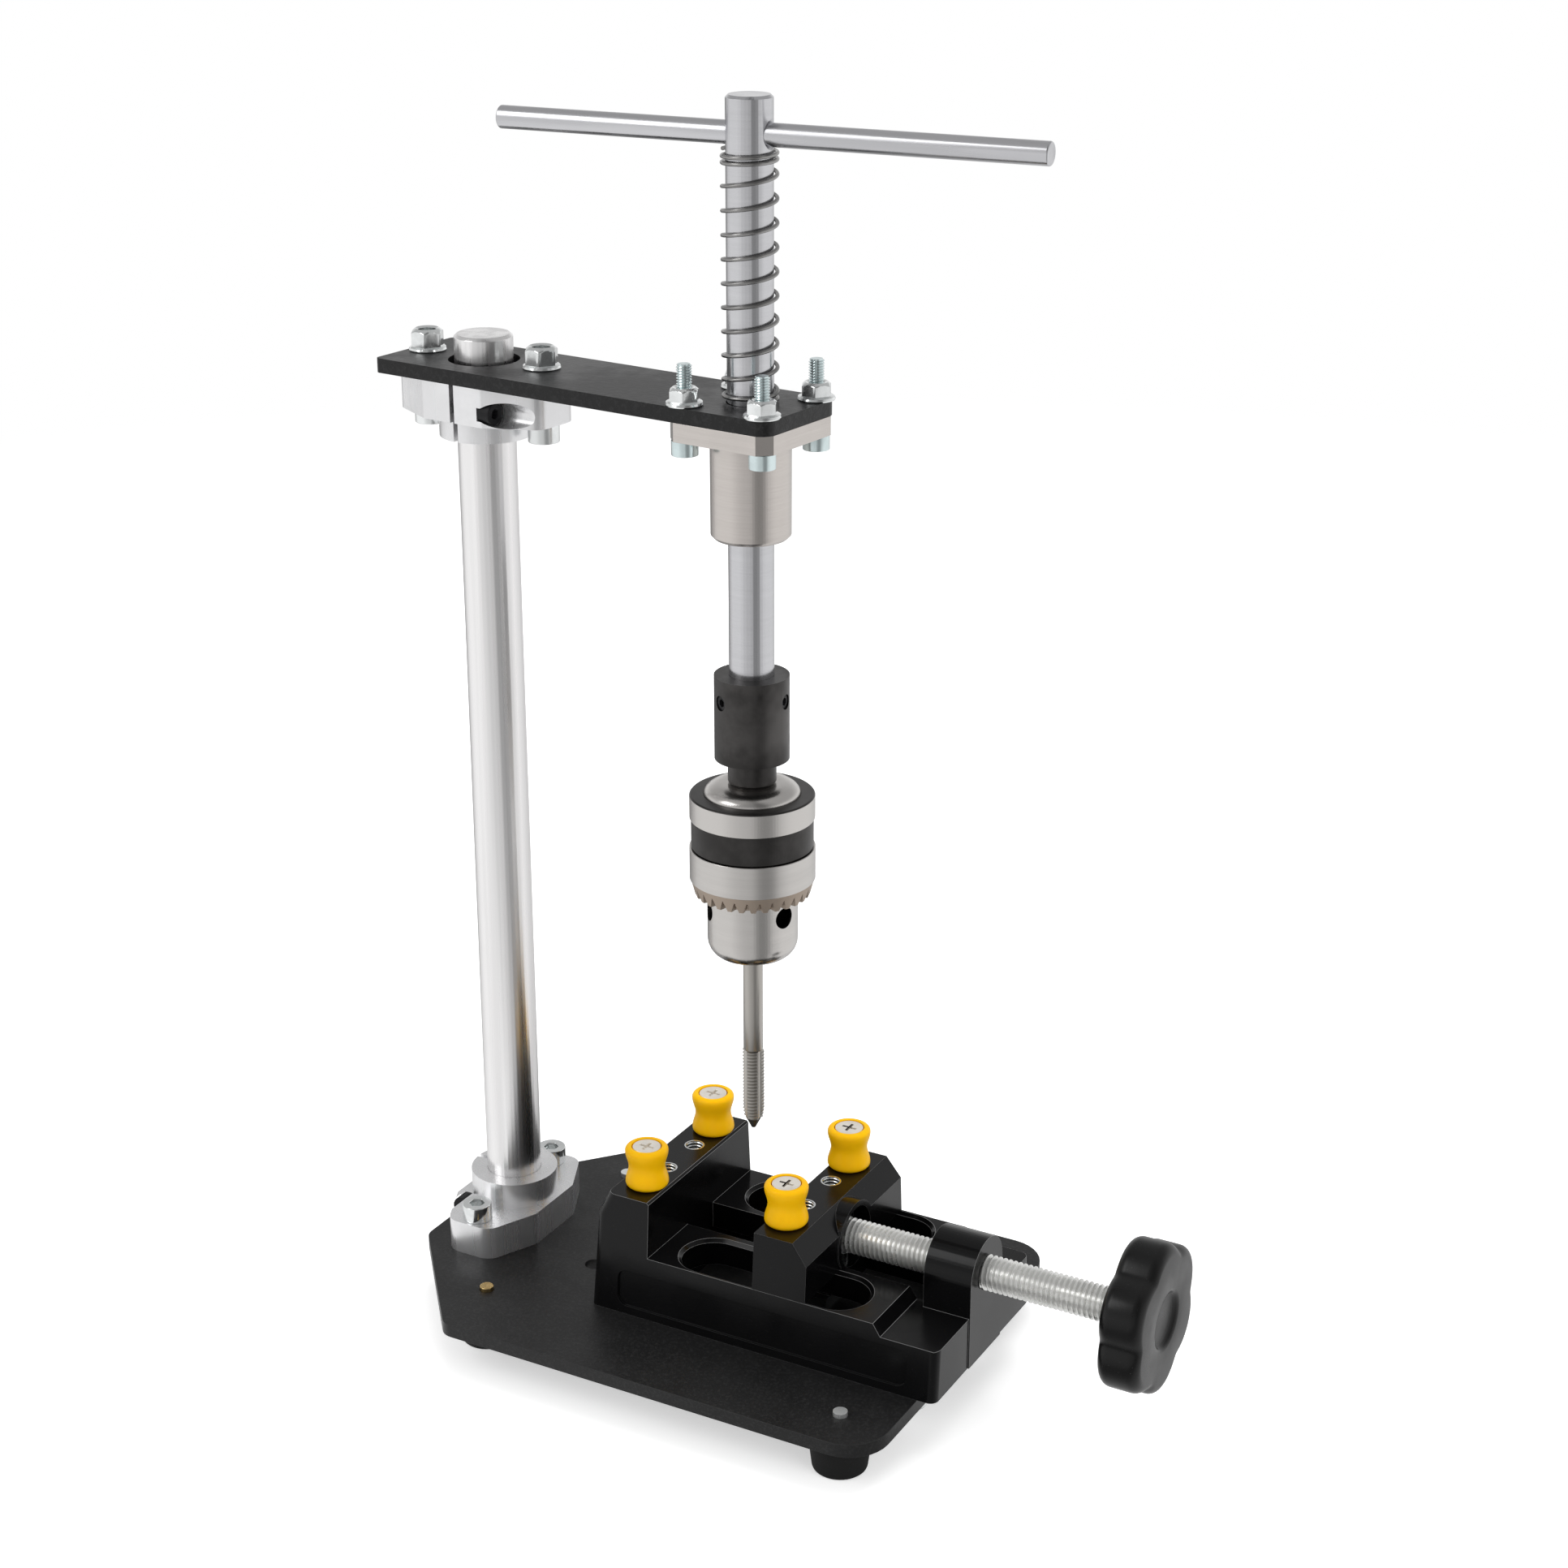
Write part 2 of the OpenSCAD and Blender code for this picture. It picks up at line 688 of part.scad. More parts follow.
spring_faces = concat(
  [for (s = [1 : wire_sides - 2]) [0, s, s + 1]],
  [for (i = [0 : spring_rings - 1]) for (s = [0 : wire_sides - 1]) each
    let (a = i * wire_sides + s, b = i * wire_sides + (s + 1) % wire_sides)
    [[a, a + wire_sides, b], [b, a + wire_sides, b + wire_sides]]],
  [for (s = [1 : wire_sides - 2]) [spring_last, spring_last + s + 1, spring_last + s]]);
spring_gap = min([for (i = [0 : spring_rings]) for (j = [i + curl_rings - 2 : 1 : spring_rings])
  norm(wire_centre(i) - wire_centre(j))]) - spring_wire;
echo(spring_turns = spring_turns, spring_gap = spring_gap);

module return_spring() color("gray") at_spindle() polyhedron(spring_points, spring_faces);

// Spindle and handle bar
module along_bar() at_spindle() translate([0, 0, bar_z]) rotate([0, 0, bar_turn - arm_swing]) children();

module spindle() color("gainsboro") difference() {
  r = spindle_d / 2;
  at_spindle() rotate_extrude($fn = 96) polygon([
    [0, spindle_bottom], [r, spindle_bottom], [r, spindle_top - spindle_chamfer],
    [r - spindle_chamfer, spindle_top], [0, spindle_top]]);
  along_bar() {
    translate([-spindle_d, 0, 0]) rotate([0, 90, 0])
      cylinder(d = bar_d + 2 * press_gap, h = 2 * spindle_d);
    for (side = [-1, 1]) translate([side * (r + bar_mouth_depth / 2), 0, 0]) rotate([0, side * 90, 0])
      translate([0, 0, -bar_mouth_depth * 1.5])
        cylinder(d1 = bar_d + 2 * press_gap, d2 = bar_mouth_d, h = bar_mouth_depth * 1.5);
  }
}

module handle_bar() color("silver") along_bar() translate([bar_offset - bar_len / 2, 0, 0])
  rotate([0, 90, 0]) rotate_extrude() polygon([
    [0, 0], [bar_d / 2 - bar_chamfer, 0], [bar_d / 2, bar_chamfer], [bar_d / 2, bar_len - bar_chamfer],
    [bar_d / 2 - bar_chamfer, bar_len], [0, bar_len]]);

// Arbor: a socket for the spindle above, a taper for the chuck below
module at_grubs() for (i = [0 : 2]) at_spindle()
  rotate([0, 0, grub_turn - arm_swing + 120 * i]) translate([0, 0, arbor_top - grub_drop])
    rotate([0, 90, 0]) children();

module chuck_arbor() color([0.12, 0.12, 0.13]) difference() {
  at_spindle() difference() {
    rotate_extrude($fn = 96) polygon([
      [0, hub_top - taper_len], [taper_bottom_d / 2, hub_top - taper_len], [taper_top_d / 2, hub_top],
      [neck_d / 2, hub_top + neck_d / 2 - taper_top_d / 2 + part_gap], [neck_d / 2, arbor_bottom],
      [arbor_d / 2, arbor_bottom], [arbor_d / 2, arbor_top], [0, arbor_top]]);
    translate([0, 0, spindle_bottom - part_gap])
      cylinder(d = spindle_d + 2 * press_gap, h = arbor_socket + part_gap + over, $fn = 96);
  }
  at_grubs() cylinder(d = grub_d + 2 * run_gap, h = arbor_d);
}

module arbor_grub_screws() color([0.2, 0.2, 0.21]) at_grubs() {
  length = arbor_d / 2 - spindle_d / 2 - grub_sink - 2 * run_gap;
  translate([0, 0, spindle_d / 2 + 2 * run_gap]) difference() {
    cylinder(d = grub_d, h = length);
    translate([0, 0, length / 3]) cylinder(d = grub_af / cos(30), h = length, $fn = 6);
  }
}

// Chuck body with its taper, leaning jaw bores and key holes
module jaw_axis(i) at_spindle() rotate([0, 0, jaw_turn - arm_swing + 120 * i])
  translate([jaw_tip_x, 0, nose_bottom]) rotate([0, jaw_lean, 0]) children();

module jaw_cut(i) intersection() {
  jaw_axis(i) translate([0, 0, -jaw_d]) cylinder(d = jaw_d + 2 * run_gap, h = ring_bottom - nose_bottom + 3 * jaw_d);
  at_spindle() translate([0, 0, nose_bottom - jaw_d])
    cylinder(d = chuck_d, h = sleeve_top - nose_bottom + jaw_d);
}

module chuck_body() color("silver") {
  hub_r = hub_d / 2;
  nose_r = nose_d / 2;
  difference() {
    at_spindle() difference() {
      rotate_extrude($fn = 96) polygon(concat(
        [[0, nose_bottom]], rounding(nose_tip_d / 2, nose_r, nose_bottom, nose_bottom + nose_round_h),
        [[nose_r, nut_bottom - part_gap], [groove_d / 2, nut_bottom - part_gap],
         [groove_d / 2, nut_top + part_gap], [hub_r, nut_top + part_gap]],
        reversed(rounding(hub_lip_d / 2, hub_r, hub_top, chuck_top)), [[0, hub_top]]));
      translate([0, 0, nose_bottom - over])
        cylinder(d = bore_d, h = hub_top - taper_len - socket_floor - nose_bottom + over);
      rotate_extrude($fn = 96) polygon([
        [0, hub_top - taper_len - over], [taper_bottom_d / 2 + press_gap, hub_top - taper_len - over],
        [taper_bottom_d / 2 + press_gap, hub_top - taper_len], [taper_top_d / 2 + press_gap, hub_top],
        [taper_top_d / 2 + press_gap, hub_top + over], [0, hub_top + over]]);
      for (i = [0 : 2]) rotate([0, 0, key_turn - arm_swing + 120 * i])
        translate([nose_r - key_hole_depth, 0, nose_bottom + key_hole_h]) rotate([0, 90, 0])
          cylinder(d = key_hole_d, h = key_hole_depth + over);
    }
    for (i = [0 : 2]) jaw_cut(i);
  }
}

module chuck_back_ring() color([0.14, 0.14, 0.15]) at_spindle() {
  inner = hub_d / 2 + press_gap;
  outer = chuck_d / 2;
  band_top = chuck_top - band_top_drop;
  rotate_extrude($fn = 96) polygon([
    [inner, ring_bottom], [outer - band_step, ring_bottom], [outer - band_step, band_top],
    [outer, band_top], [outer, chuck_top - band_step], [outer - band_step, chuck_top],
    [inner, chuck_top]]);
}

// Sleeve with a bevel ring of teeth at its lower edge
module chuck_sleeve() color("silver") at_spindle() {
  nose_r = nose_d / 2 + run_gap;
  outer = chuck_d / 2;
  tooth_top = sleeve_bottom + tooth_h;
  notch_low_w = tooth_notch_w + (tooth_notch_w - tooth_notch_tip) * over / tooth_notch_h;
  difference() {
    rotate_extrude($fn = 96) polygon([
      [nose_r, sleeve_bottom], [tooth_low_d / 2, sleeve_bottom], [tooth_edge_d / 2, tooth_top - band_step],
      [tooth_edge_d / 2, tooth_top], [outer, tooth_top], [outer, sleeve_top],
      [nut_d / 2 + press_gap, sleeve_top], [nut_d / 2 + press_gap, nut_bottom], [nose_r, nut_bottom]]);
    for (i = [0 : tooth_count - 1]) rotate([0, 0, 360 / tooth_count * i])
      translate([tooth_notch_d / 2, 0, sleeve_bottom]) rotate([90, 0, 90]) linear_extrude(outer) polygon([
        [-notch_low_w / 2, -over], [notch_low_w / 2, -over],
        [tooth_notch_tip / 2, tooth_notch_h], [-tooth_notch_tip / 2, tooth_notch_h]]);
  }
}

module chuck_nut() color("dimgray") at_spindle() {
  reach_at_bottom = jaw_tip_x + (nut_bottom - nose_bottom) * tan(jaw_lean) + jaw_d / 2 / cos(jaw_lean);
  reach_at_top = reach_at_bottom + nut_height * tan(jaw_lean);
  rotate_extrude($fn = 96) polygon([
    [reach_at_bottom + 2 * run_gap, nut_bottom], [nut_d / 2, nut_bottom], [nut_d / 2, nut_top],
    [reach_at_top + 2 * run_gap, nut_top]]);
}

// A jaw: a leaning pin with a flat face along the tap
module chuck_jaw(i) color("dimgray") intersection() {
  jaw_axis(i) translate([0, 0, -jaw_d]) cylinder(d = jaw_d, h = nut_top - nose_bottom + 3 * jaw_d);
  at_spindle() rotate([0, 0, jaw_turn - arm_swing + 120 * i])
    translate([tap_shank_d / 2 + press_gap, -jaw_d, nose_bottom])
      cube([chuck_d, 2 * jaw_d, nut_top - nose_bottom + part_gap]);
}

module chuck_jaw_1() chuck_jaw(0);
module chuck_jaw_2() chuck_jaw(1);
module chuck_jaw_3() chuck_jaw(2);

// Tap with three flutes
module tap() color("darkgray") at_spindle() {
  shank_r = tap_shank_d / 2;
  thread_r = tap_d / 2;
  thread_top = tap_bottom + tap_point_len + tap_thread_len - tap_lead;
  difference() {
    rotate_extrude() polygon([
      [0, tap_bottom], [tap_point_d / 2, tap_bottom], [shank_r - tap_point_d / 4, tap_bottom + tap_point_len],
      [thread_r, tap_bottom + tap_point_len + tap_lead], [thread_r, thread_top],
      [shank_r, thread_top + tap_point_d / 2], [shank_r, tap_bottom + tap_total],
      [0, tap_bottom + tap_total]]);
    for (i = [0 : flute_count - 1]) rotate([0, 0, 360 / flute_count * i])
      translate([flute_x, 0, tap_bottom - over])
        cylinder(d = flute_d, h = tap_point_len + tap_thread_len + over);
  }
}

// Vise body: side view and end view crossed, then the channel, slots and hollow
module at_vise_screws() for (x = [vise_x + mount_screw_back, vise_end_x - mount_screw_front])
  translate([x, 0, 0]) both_y(mount_screw_gap) children();

module end_view(top_z, length) {
  half = vise_w / 2;
  lean = side_draft * (top_z - plate_top);
  translate([0, 0, plate_top]) rotate([90, 0, 90]) linear_extrude(length) polygon([
    [-half, 0], [half, 0], [half - lean, top_z - plate_top], [-half + lean, top_z - plate_top]]);
}

module body_side_view() polygon([
  [vise_x, plate_top], [vise_x + fixed_lean, jaw_z - fixed_chamfer_h],
  [vise_x + fixed_lean + fixed_chamfer_x, jaw_z], [jaw_face_x - fixed_bevel, jaw_z],
  [jaw_face_x, jaw_z - fixed_bevel], [jaw_face_x, rail_z],
  [vise_end_x - rail_flat_end, rail_z], [vise_end_x - rail_flat_end + rail_step_x, rail_z - rail_step],
  [vise_end_x, rail_z - rail_step], [vise_end_x, plate_top]]);

module rail_slot(z, height) for (side = [-1, 1])
  translate([jaw_face_x + slot_inset + slot_w / 2, side * slot_y, z]) {
    run = slot_len - slot_w;
    for (x = [0, run]) translate([x, 0, 0]) cylinder(d = slot_w, h = height);
    translate([0, -slot_w / 2, 0]) cube([run, slot_w, height]);
  }

module slot_rim() for (side = [-1, 1])
  translate([jaw_face_x + slot_inset + slot_w / 2, side * slot_y, rail_z - slot_bevel]) {
    run = slot_len - slot_w;
    low = slot_w / 2;
    for (x = [0, run]) translate([x, 0, 0])
      cylinder(r1 = low, r2 = low + 2 * slot_bevel, h = 2 * slot_bevel);
    rotate([90, 0, 90]) linear_extrude(run) polygon([
      [-low, 0], [low, 0], [low + 2 * slot_bevel, 2 * slot_bevel], [-low - 2 * slot_bevel, 2 * slot_bevel]]);
  }

module side_panel() {
  length = vise_len - 2 * panel_edge;
  for (side = [-1, 1]) translate([vise_x + panel_edge, side * vise_w / 2, plate_top + panel_low])
    rotate([90 + side * atan(side_draft), 0, 0])
      translate([0, 0, -panel_depth]) linear_extrude(2 * panel_depth) polygon(rounded([
        [0, 0, panel_r], [length, 0, panel_r], [length, panel_h, panel_r], [0, panel_h, panel_r]]));
}

module vise_body() color([0.13, 0.13, 0.14]) at_column() {
  half_block = block_w / 2;
  difference() {
    union() {
      intersection() {
        translate([0, vise_w, 0]) rotate([90, 0, 0]) linear_extrude(2 * vise_w) body_side_view();
        translate([vise_x - over, 0, 0]) end_view(jaw_z, vise_len + 2 * over);
      }
      translate([block_x, 0, screw_z]) rotate([0, 90, 0]) 
        cylinder(r = half_block, h = block_len + block_proud);
      translate([block_x, -half_block, plate_top]) cube([block_len + block_proud, block_w, screw_h]);
    }
    translate([jaw_face_x, -channel_w / 2, plate_top - over])
      cube([block_x - jaw_face_x, channel_w, rail_h + 2 * over]);
    translate([jaw_face_x, -vise_w / 2 + cavity_side, plate_top - over])
      cube([vise_len - fixed_jaw_t - cavity_front, vise_w - 2 * cavity_side, rail_h - rail_t + over]);
    rail_slot(plate_top - over, rail_h + 2 * over);
    slot_rim();
    side_panel();
    translate([block_x - over, 0, screw_z]) rotate([0, 90, 0])
      cylinder(d = screw_d + 2 * thread_gap, h = block_len + 2 * over);
    translate([0, 0, plate_top - over]) at_vise_screws()
      cylinder(d = screw5_d + 2 * run_gap, h = mount_screw_len - plate_t + over + part_gap);
    translate([fixed_peg_x, 0, jaw_z - peg_screw_deep]) {
      both_y(peg_gap) cylinder(d = screw4_d + 2 * run_gap, h = peg_screw_deep + over);
      both_y(spare_gap) cylinder(d = spare_d, h = peg_screw_deep + over);
    }
  }
}

module vise_mount_screws() color("lightslategray") at_column() at_vise_screws()
  translate([0, 0, foot_h]) mirror([0, 0, 1])
    cap_screw(screw5_d, mount_screw_len, head5_d, head5_h, socket5_af, socket5_depth);

// Moving jaw with a tongue between the rails and a hollow boss round the screw
module moving_side_view() polygon([
  [moving_x, rail_z], [moving_x, jaw_z], [moving_back_x - moving_chamfer_x, jaw_z],
  [moving_back_x, jaw_z - moving_chamfer_h], [moving_back_x, rail_z]]);

tongue_bottom = rail_under_z - tongue_gap;
keeper_x = moving_x + (moving_jaw_t - keeper_len) / 2;
scoop_x = moving_back_x - scoop_depth;
pin_x = scoop_x - pin_inset;
keeper_screw_x = [keeper_x + keeper_screw_inset - pin_d / 2, keeper_x + keeper_len - pin_d / 2];

module moving_jaw() color([0.13, 0.13, 0.14]) at_column() difference() {
  union() {
    intersection() {
      translate([0, vise_w, 0]) rotate([90, 0, 0]) linear_extrude(2 * vise_w) moving_side_view();
      translate([moving_x - over, 0, 0]) end_view(jaw_z, moving_jaw_t + 2 * over);
    }
    translate([moving_x, -channel_w / 2 + tongue_gap, tongue_bottom])
      cube([moving_jaw_t, channel_w - 2 * tongue_gap, rail_t + 2 * tongue_gap]);
    intersection() {
      translate([moving_back_x - 2 * moving_chamfer_x, 0, screw_z]) rotate([0, 90, 0])
        cylinder(d = jaw_boss_d, h = 2 * moving_chamfer_x + jaw_boss_out);
      translate([moving_x, -jaw_boss_d, rail_z + part_gap]) cube([2 * moving_jaw_t, 2 * jaw_boss_d, jaw_h]);
    }
  }
  translate([scoop_x, 0, screw_z]) rotate([0, 90, 0]) cylinder(d = scoop_d, h = scoop_depth + over);
  translate([scoop_x - journal_len - part_gap, 0, screw_z]) rotate([0, 90, 0])
    cylinder(d = journal_d + 2 * run_gap, h = journal_len + part_gap + over);
  translate([pin_x, 0, tongue_bottom - over])
    cylinder(d = pin_d + 2 * press_gap, h = screw_z - tongue_bottom);
  for (x = keeper_screw_x) translate([x, 0, tongue_bottom - over])
    cylinder(d = keeper_screw_d + 2 * run_gap, h = keeper_screw_deep + over);
  translate([moving_peg_x, 0, jaw_z - peg_screw_deep]) {
    both_y(peg_gap) cylinder(d = screw4_d + 2 * run_gap, h = peg_screw_deep + over);
    both_y(spare_gap) cylinder(d = spare_d, h = peg_screw_deep + over);
  }
}

module jaw_keeper_plate() color("slategray") at_column() difference() {
  translate([keeper_x, -keeper_w / 2, tongue_bottom - keeper_t]) cube([keeper_len, keeper_w, keeper_t]);
  for (x = keeper_screw_x) translate([x, 0, tongue_bottom - keeper_t - over]) {
    cylinder(d = keeper_screw_d + 2 * part_gap, h = keeper_t + 2 * over);
    cylinder(d = keeper_head_d + 2 * run_gap, h = keeper_head_h + over);
  }
}

module jaw_keeper_screws() color("lightslategray") at_column() for (x = keeper_screw_x)
  translate([x, 0, tongue_bottom - keeper_t + keeper_head_h]) mirror([0, 0, 1])
    cap_screw(keeper_screw_d, keeper_t - keeper_head_h + keeper_screw_deep - part_gap, keeper_head_d,
      keeper_head_h, keeper_af, keeper_head_h / 2);

module screw_keeper_pin() color("gray") at_column()
  translate([pin_x, 0, tongue_bottom])
    cylinder(d = pin_d, h = screw_z - groove_floor_d / 2 - 2 * run_gap - tongue_bottom);

// Lead screw with a grooved end in the moving jaw
module vise_screw() color("silver") at_column() translate([0, 0, screw_z]) rotate([0, 90, 0]) {
  tip = scoop_x - journal_len;
  r = journal_d / 2;
  groove = pin_d / 2 + part_gap;
  rotate_extrude($fn = 96) polygon([
    [0, tip], [r - part_gap, tip], [r, tip + part_gap], [r, pin_x - groove],
    [groove_floor_d / 2, pin_x - groove], [groove_floor_d / 2, pin_x + groove], [r, pin_x + groove],
    [r, scoop_x + part_gap], [screw_d / 2, scoop_x + part_gap], [screw_d / 2, knob_x + screw_in_knob],
    [0, knob_x + screw_in_knob]]);
}

module vise_knob() color([0.12, 0.12, 0.13]) at_column() translate([knob_x, 0, screw_z]) rotate([0, 90, 0])
  difference() {
    intersection() {
      linear_extrude(knob_t) {
        circle(d = knob_core_d);
        for (i = [0 : lobe_count - 1]) rotate(360 / lobe_count * i)
          translate([(knob_d - lobe_d) / 2, 0]) circle(d = lobe_d);
      }
      rotate_extrude() polygon([
        [0, 0], [knob_d / 2 - knob_edge, 0], [knob_d / 2, knob_edge],
        [knob_d / 2, knob_t - knob_edge], [knob_d / 2 - knob_edge, knob_t], [0, knob_t]]);
    }
    translate([0, 0, knob_t - knob_recess_depth]) cylinder(d = knob_recess_d, h = knob_recess_depth + over);
    translate([0, 0, -over]) cylinder(d = screw_d + 2 * press_gap, h = screw_in_knob + over + part_gap);
  }

// Waisted pegs and their screws
module peg_pair(x) at_column() translate([x, 0, jaw_z]) both_y(peg_gap) {
  r = peg_d / 2;
  hollow = (peg_d - peg_waist_d) / 2;
  side = [for (i = [1 : peg_steps - 1]) let (t = i / peg_steps)
    [r - hollow * (1 - cos(360 * t)) / 2, peg_rim + (peg_h - 2 * peg_rim) * t]];
  difference() {
    rotate_extrude() polygon(concat(
      [[0, 0]], rounding(r - peg_rim, r, 0, peg_rim), side,
      reversed(rounding(r - peg_rim, r, peg_h, peg_h - peg_rim)), [[0, peg_h]]));
    translate([0, 0, -over]) cylinder(d = screw4_d + 2 * part_gap, h = peg_h + 2 * over);
    translate([0, 0, peg_h - peg_recess_depth]) cylinder(d = peg_recess_d, h = peg_recess_depth + over);
  }
}

module peg_screw_pair(x) at_column() translate([x, 0, jaw_z + peg_h - peg_recess_depth])
  both_y(peg_gap) difference() {
    union() {
      cylinder(d = peg_head_d, h = peg_head_h);
      length = peg_h - peg_recess_depth + peg_screw_deep - part_gap;
      translate([0, 0, -length]) cylinder(d = screw4_d, h = length + peg_head_h / 2);
    }
    translate([-peg_slot_l / 2, -peg_slot_w / 2, peg_head_h - peg_slot_depth])
      cube([peg_slot_l, peg_slot_w, peg_slot_depth + over]);
    translate([-peg_slot_w / 2, -peg_slot_l / 2, peg_head_h - peg_slot_depth])
      cube([peg_slot_w, peg_slot_l, peg_slot_depth + over]);
  }

module fixed_pegs() color("orange") peg_pair(fixed_peg_x);
module fixed_peg_screws() color("silver") peg_screw_pair(fixed_peg_x);
module moving_pegs() color("orange") peg_pair(moving_peg_x);
module moving_peg_screws() color("silver") peg_screw_pair(moving_peg_x);

base_plate();
feet();
foot_screws();
foot_screw_brass();
column_flange();
column_flange_screws();
column_clamp_screw();
column();
arm_plate();
arm_clamp();
arm_clamp_screw();
arm_clamp_bolts();
arm_clamp_nuts();
guide_housing();
guide_liner();
guide_wipers();
guide_screws();
guide_nuts();
return_spring();
spindle();
handle_bar();
chuck_arbor();
arbor_grub_screws();
chuck_body();
chuck_back_ring();
chuck_sleeve();
chuck_nut();
chuck_jaw_1();
chuck_jaw_2();
chuck_jaw_3();
tap();
vise_body();
vise_mount_screws();
moving_jaw();
jaw_keeper_plate();
jaw_keeper_screws();
screw_keeper_pin();
vise_screw();
vise_knob();
fixed_pegs();
fixed_peg_screws();
moving_pegs();
moving_peg_screws();
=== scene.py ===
"""Dresses the tapping stand around its CAD frame: soft edges, threads, finishes, studio and camera.

Lengths are in metres, in the frame of the CAD model, with Z up and the bench at zero.
"""

import math

import bmesh
import bpy
from bpy.props import FloatProperty, FloatVectorProperty, IntProperty, PointerProperty
from mathutils import Matrix, Vector
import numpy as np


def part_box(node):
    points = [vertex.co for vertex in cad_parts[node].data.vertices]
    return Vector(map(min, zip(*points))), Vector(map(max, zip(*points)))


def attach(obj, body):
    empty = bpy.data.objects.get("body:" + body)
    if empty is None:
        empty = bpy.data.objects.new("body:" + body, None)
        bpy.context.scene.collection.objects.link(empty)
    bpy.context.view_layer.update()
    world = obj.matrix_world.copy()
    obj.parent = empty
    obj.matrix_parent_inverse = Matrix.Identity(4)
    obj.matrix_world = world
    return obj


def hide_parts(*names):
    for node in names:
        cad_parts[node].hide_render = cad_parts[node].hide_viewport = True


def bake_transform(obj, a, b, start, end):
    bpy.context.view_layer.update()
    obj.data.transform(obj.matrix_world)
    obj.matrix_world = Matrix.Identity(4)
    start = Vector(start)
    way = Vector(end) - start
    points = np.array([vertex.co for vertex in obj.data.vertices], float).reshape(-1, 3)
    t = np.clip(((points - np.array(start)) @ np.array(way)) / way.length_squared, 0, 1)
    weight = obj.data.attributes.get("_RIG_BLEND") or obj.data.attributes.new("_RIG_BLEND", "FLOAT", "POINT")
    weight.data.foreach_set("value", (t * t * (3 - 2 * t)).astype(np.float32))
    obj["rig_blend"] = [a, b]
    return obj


bl_info = {
    "name": "Tapping stand",
    "version": (1, 0, 0),
    "blender": (4, 5, 0),
    "location": "View3D > Sidebar > Tapping stand",
    "description": "Dresses a tapping stand with its finishes, threads, studio and camera",
    "category": "Object",
}

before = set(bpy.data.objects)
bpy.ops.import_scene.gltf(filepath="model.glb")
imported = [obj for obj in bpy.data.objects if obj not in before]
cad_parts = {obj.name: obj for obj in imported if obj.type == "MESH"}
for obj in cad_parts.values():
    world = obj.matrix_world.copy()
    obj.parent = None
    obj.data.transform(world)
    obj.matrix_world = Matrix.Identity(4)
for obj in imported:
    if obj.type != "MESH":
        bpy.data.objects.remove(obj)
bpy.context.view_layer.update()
MM = 0.001
MERGE = 1e-6
EDGE = "soft edge"


def middle(node):
    """Middle of a CAD node's box."""
    low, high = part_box(node)
    return (low + high) / 2


def low_z(node):
    """Lowest height of a CAD node."""
    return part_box(node)[0].z


def high_z(node):
    """Greatest height of a CAD node."""
    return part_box(node)[1].z


def half_width(node):
    """Half the length of a CAD node along X."""
    low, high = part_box(node)
    return (high.x - low.x) / 2


COLUMN_AXIS = Vector((middle("column").x, middle("column").y, 0))
SPINDLE_AXIS = Vector((middle("spindle").x, middle("spindle").y, 0))
ARM_SWING = math.atan2(*(SPINDLE_AXIS - COLUMN_AXIS).yx)
AT_COLUMN = Matrix.Translation(COLUMN_AXIS)
AT_SPINDLE = Matrix.Translation(SPINDLE_AXIS)
SCREW_AXIS = Vector((0, middle("vise_screw").y, middle("vise_screw").z))
AT_SCREW = Matrix.Translation(SCREW_AXIS) @ Matrix.Rotation(math.radians(90), 4, "Y")


# --- settings


def length(name, description, default):
    """A length, given in millimetres, that the sidebar shows in metres."""
    return FloatProperty(name=name, description=description, default=default * MM, min=0, unit="LENGTH", precision=5)


def colour(name, description, default):
    """A linear colour that the sidebar shows as a swatch."""
    return FloatVectorProperty(
        name=name, description=description, default=default, subtype="COLOR", size=3, min=0, max=1
    )


def number(name, description, default, **options):
    """A number that isn't a length."""
    return FloatProperty(name=name, description=description, default=default, **options)


def angle_of(name, description, degrees):
    """An angle that the sidebar shows in degrees."""
    return number(name, description, math.radians(degrees), subtype="ANGLE")


class EdgeSettings(bpy.types.PropertyGroup):
    """Radii of the soft edges"""

    plate: length("Plate edge", "Rounding of the base plate and the arm plate", 0.5)
    casting: length("Casting edge", "Rounding of the cast vise and its jaw", 0.45)
    corner: length("Casting corner", "Rounding of the vise's upright corners", 2.5)
    clamp: length("Clamp edge", "Rounding of the machined column clamps", 0.2)
    turned: length("Turned edge", "Rounding of turned and ground steel", 0.25)
    rubber: length("Rubber edge", "Rounding of the feet", 1.1)
    knob: length("Knob edge", "Rounding of the star knob", 3.2)
    screw: length("Screw edge", "Rounding of screw heads and nuts", 0.3)


class ThreadSettings(bpy.types.PropertyGroup):
    """Pitches and depths of the threads"""

    lead_pitch: length("Lead pitch", "Pitch of the vise's lead screw", 1.5)
    lead_depth: length("Lead depth", "Depth of the lead screw's thread", 0.85)
    guide_pitch: length("Guide pitch", "Pitch of the guide bush's screws", 0.7)
    guide_depth: length("Guide depth", "Depth of the guide screws' thread", 0.4)
    tap_pitch: length("Tap pitch", "Pitch of the tap", 1.0)
    tap_depth: length("Tap depth", "Depth of the tap's thread", 0.55)


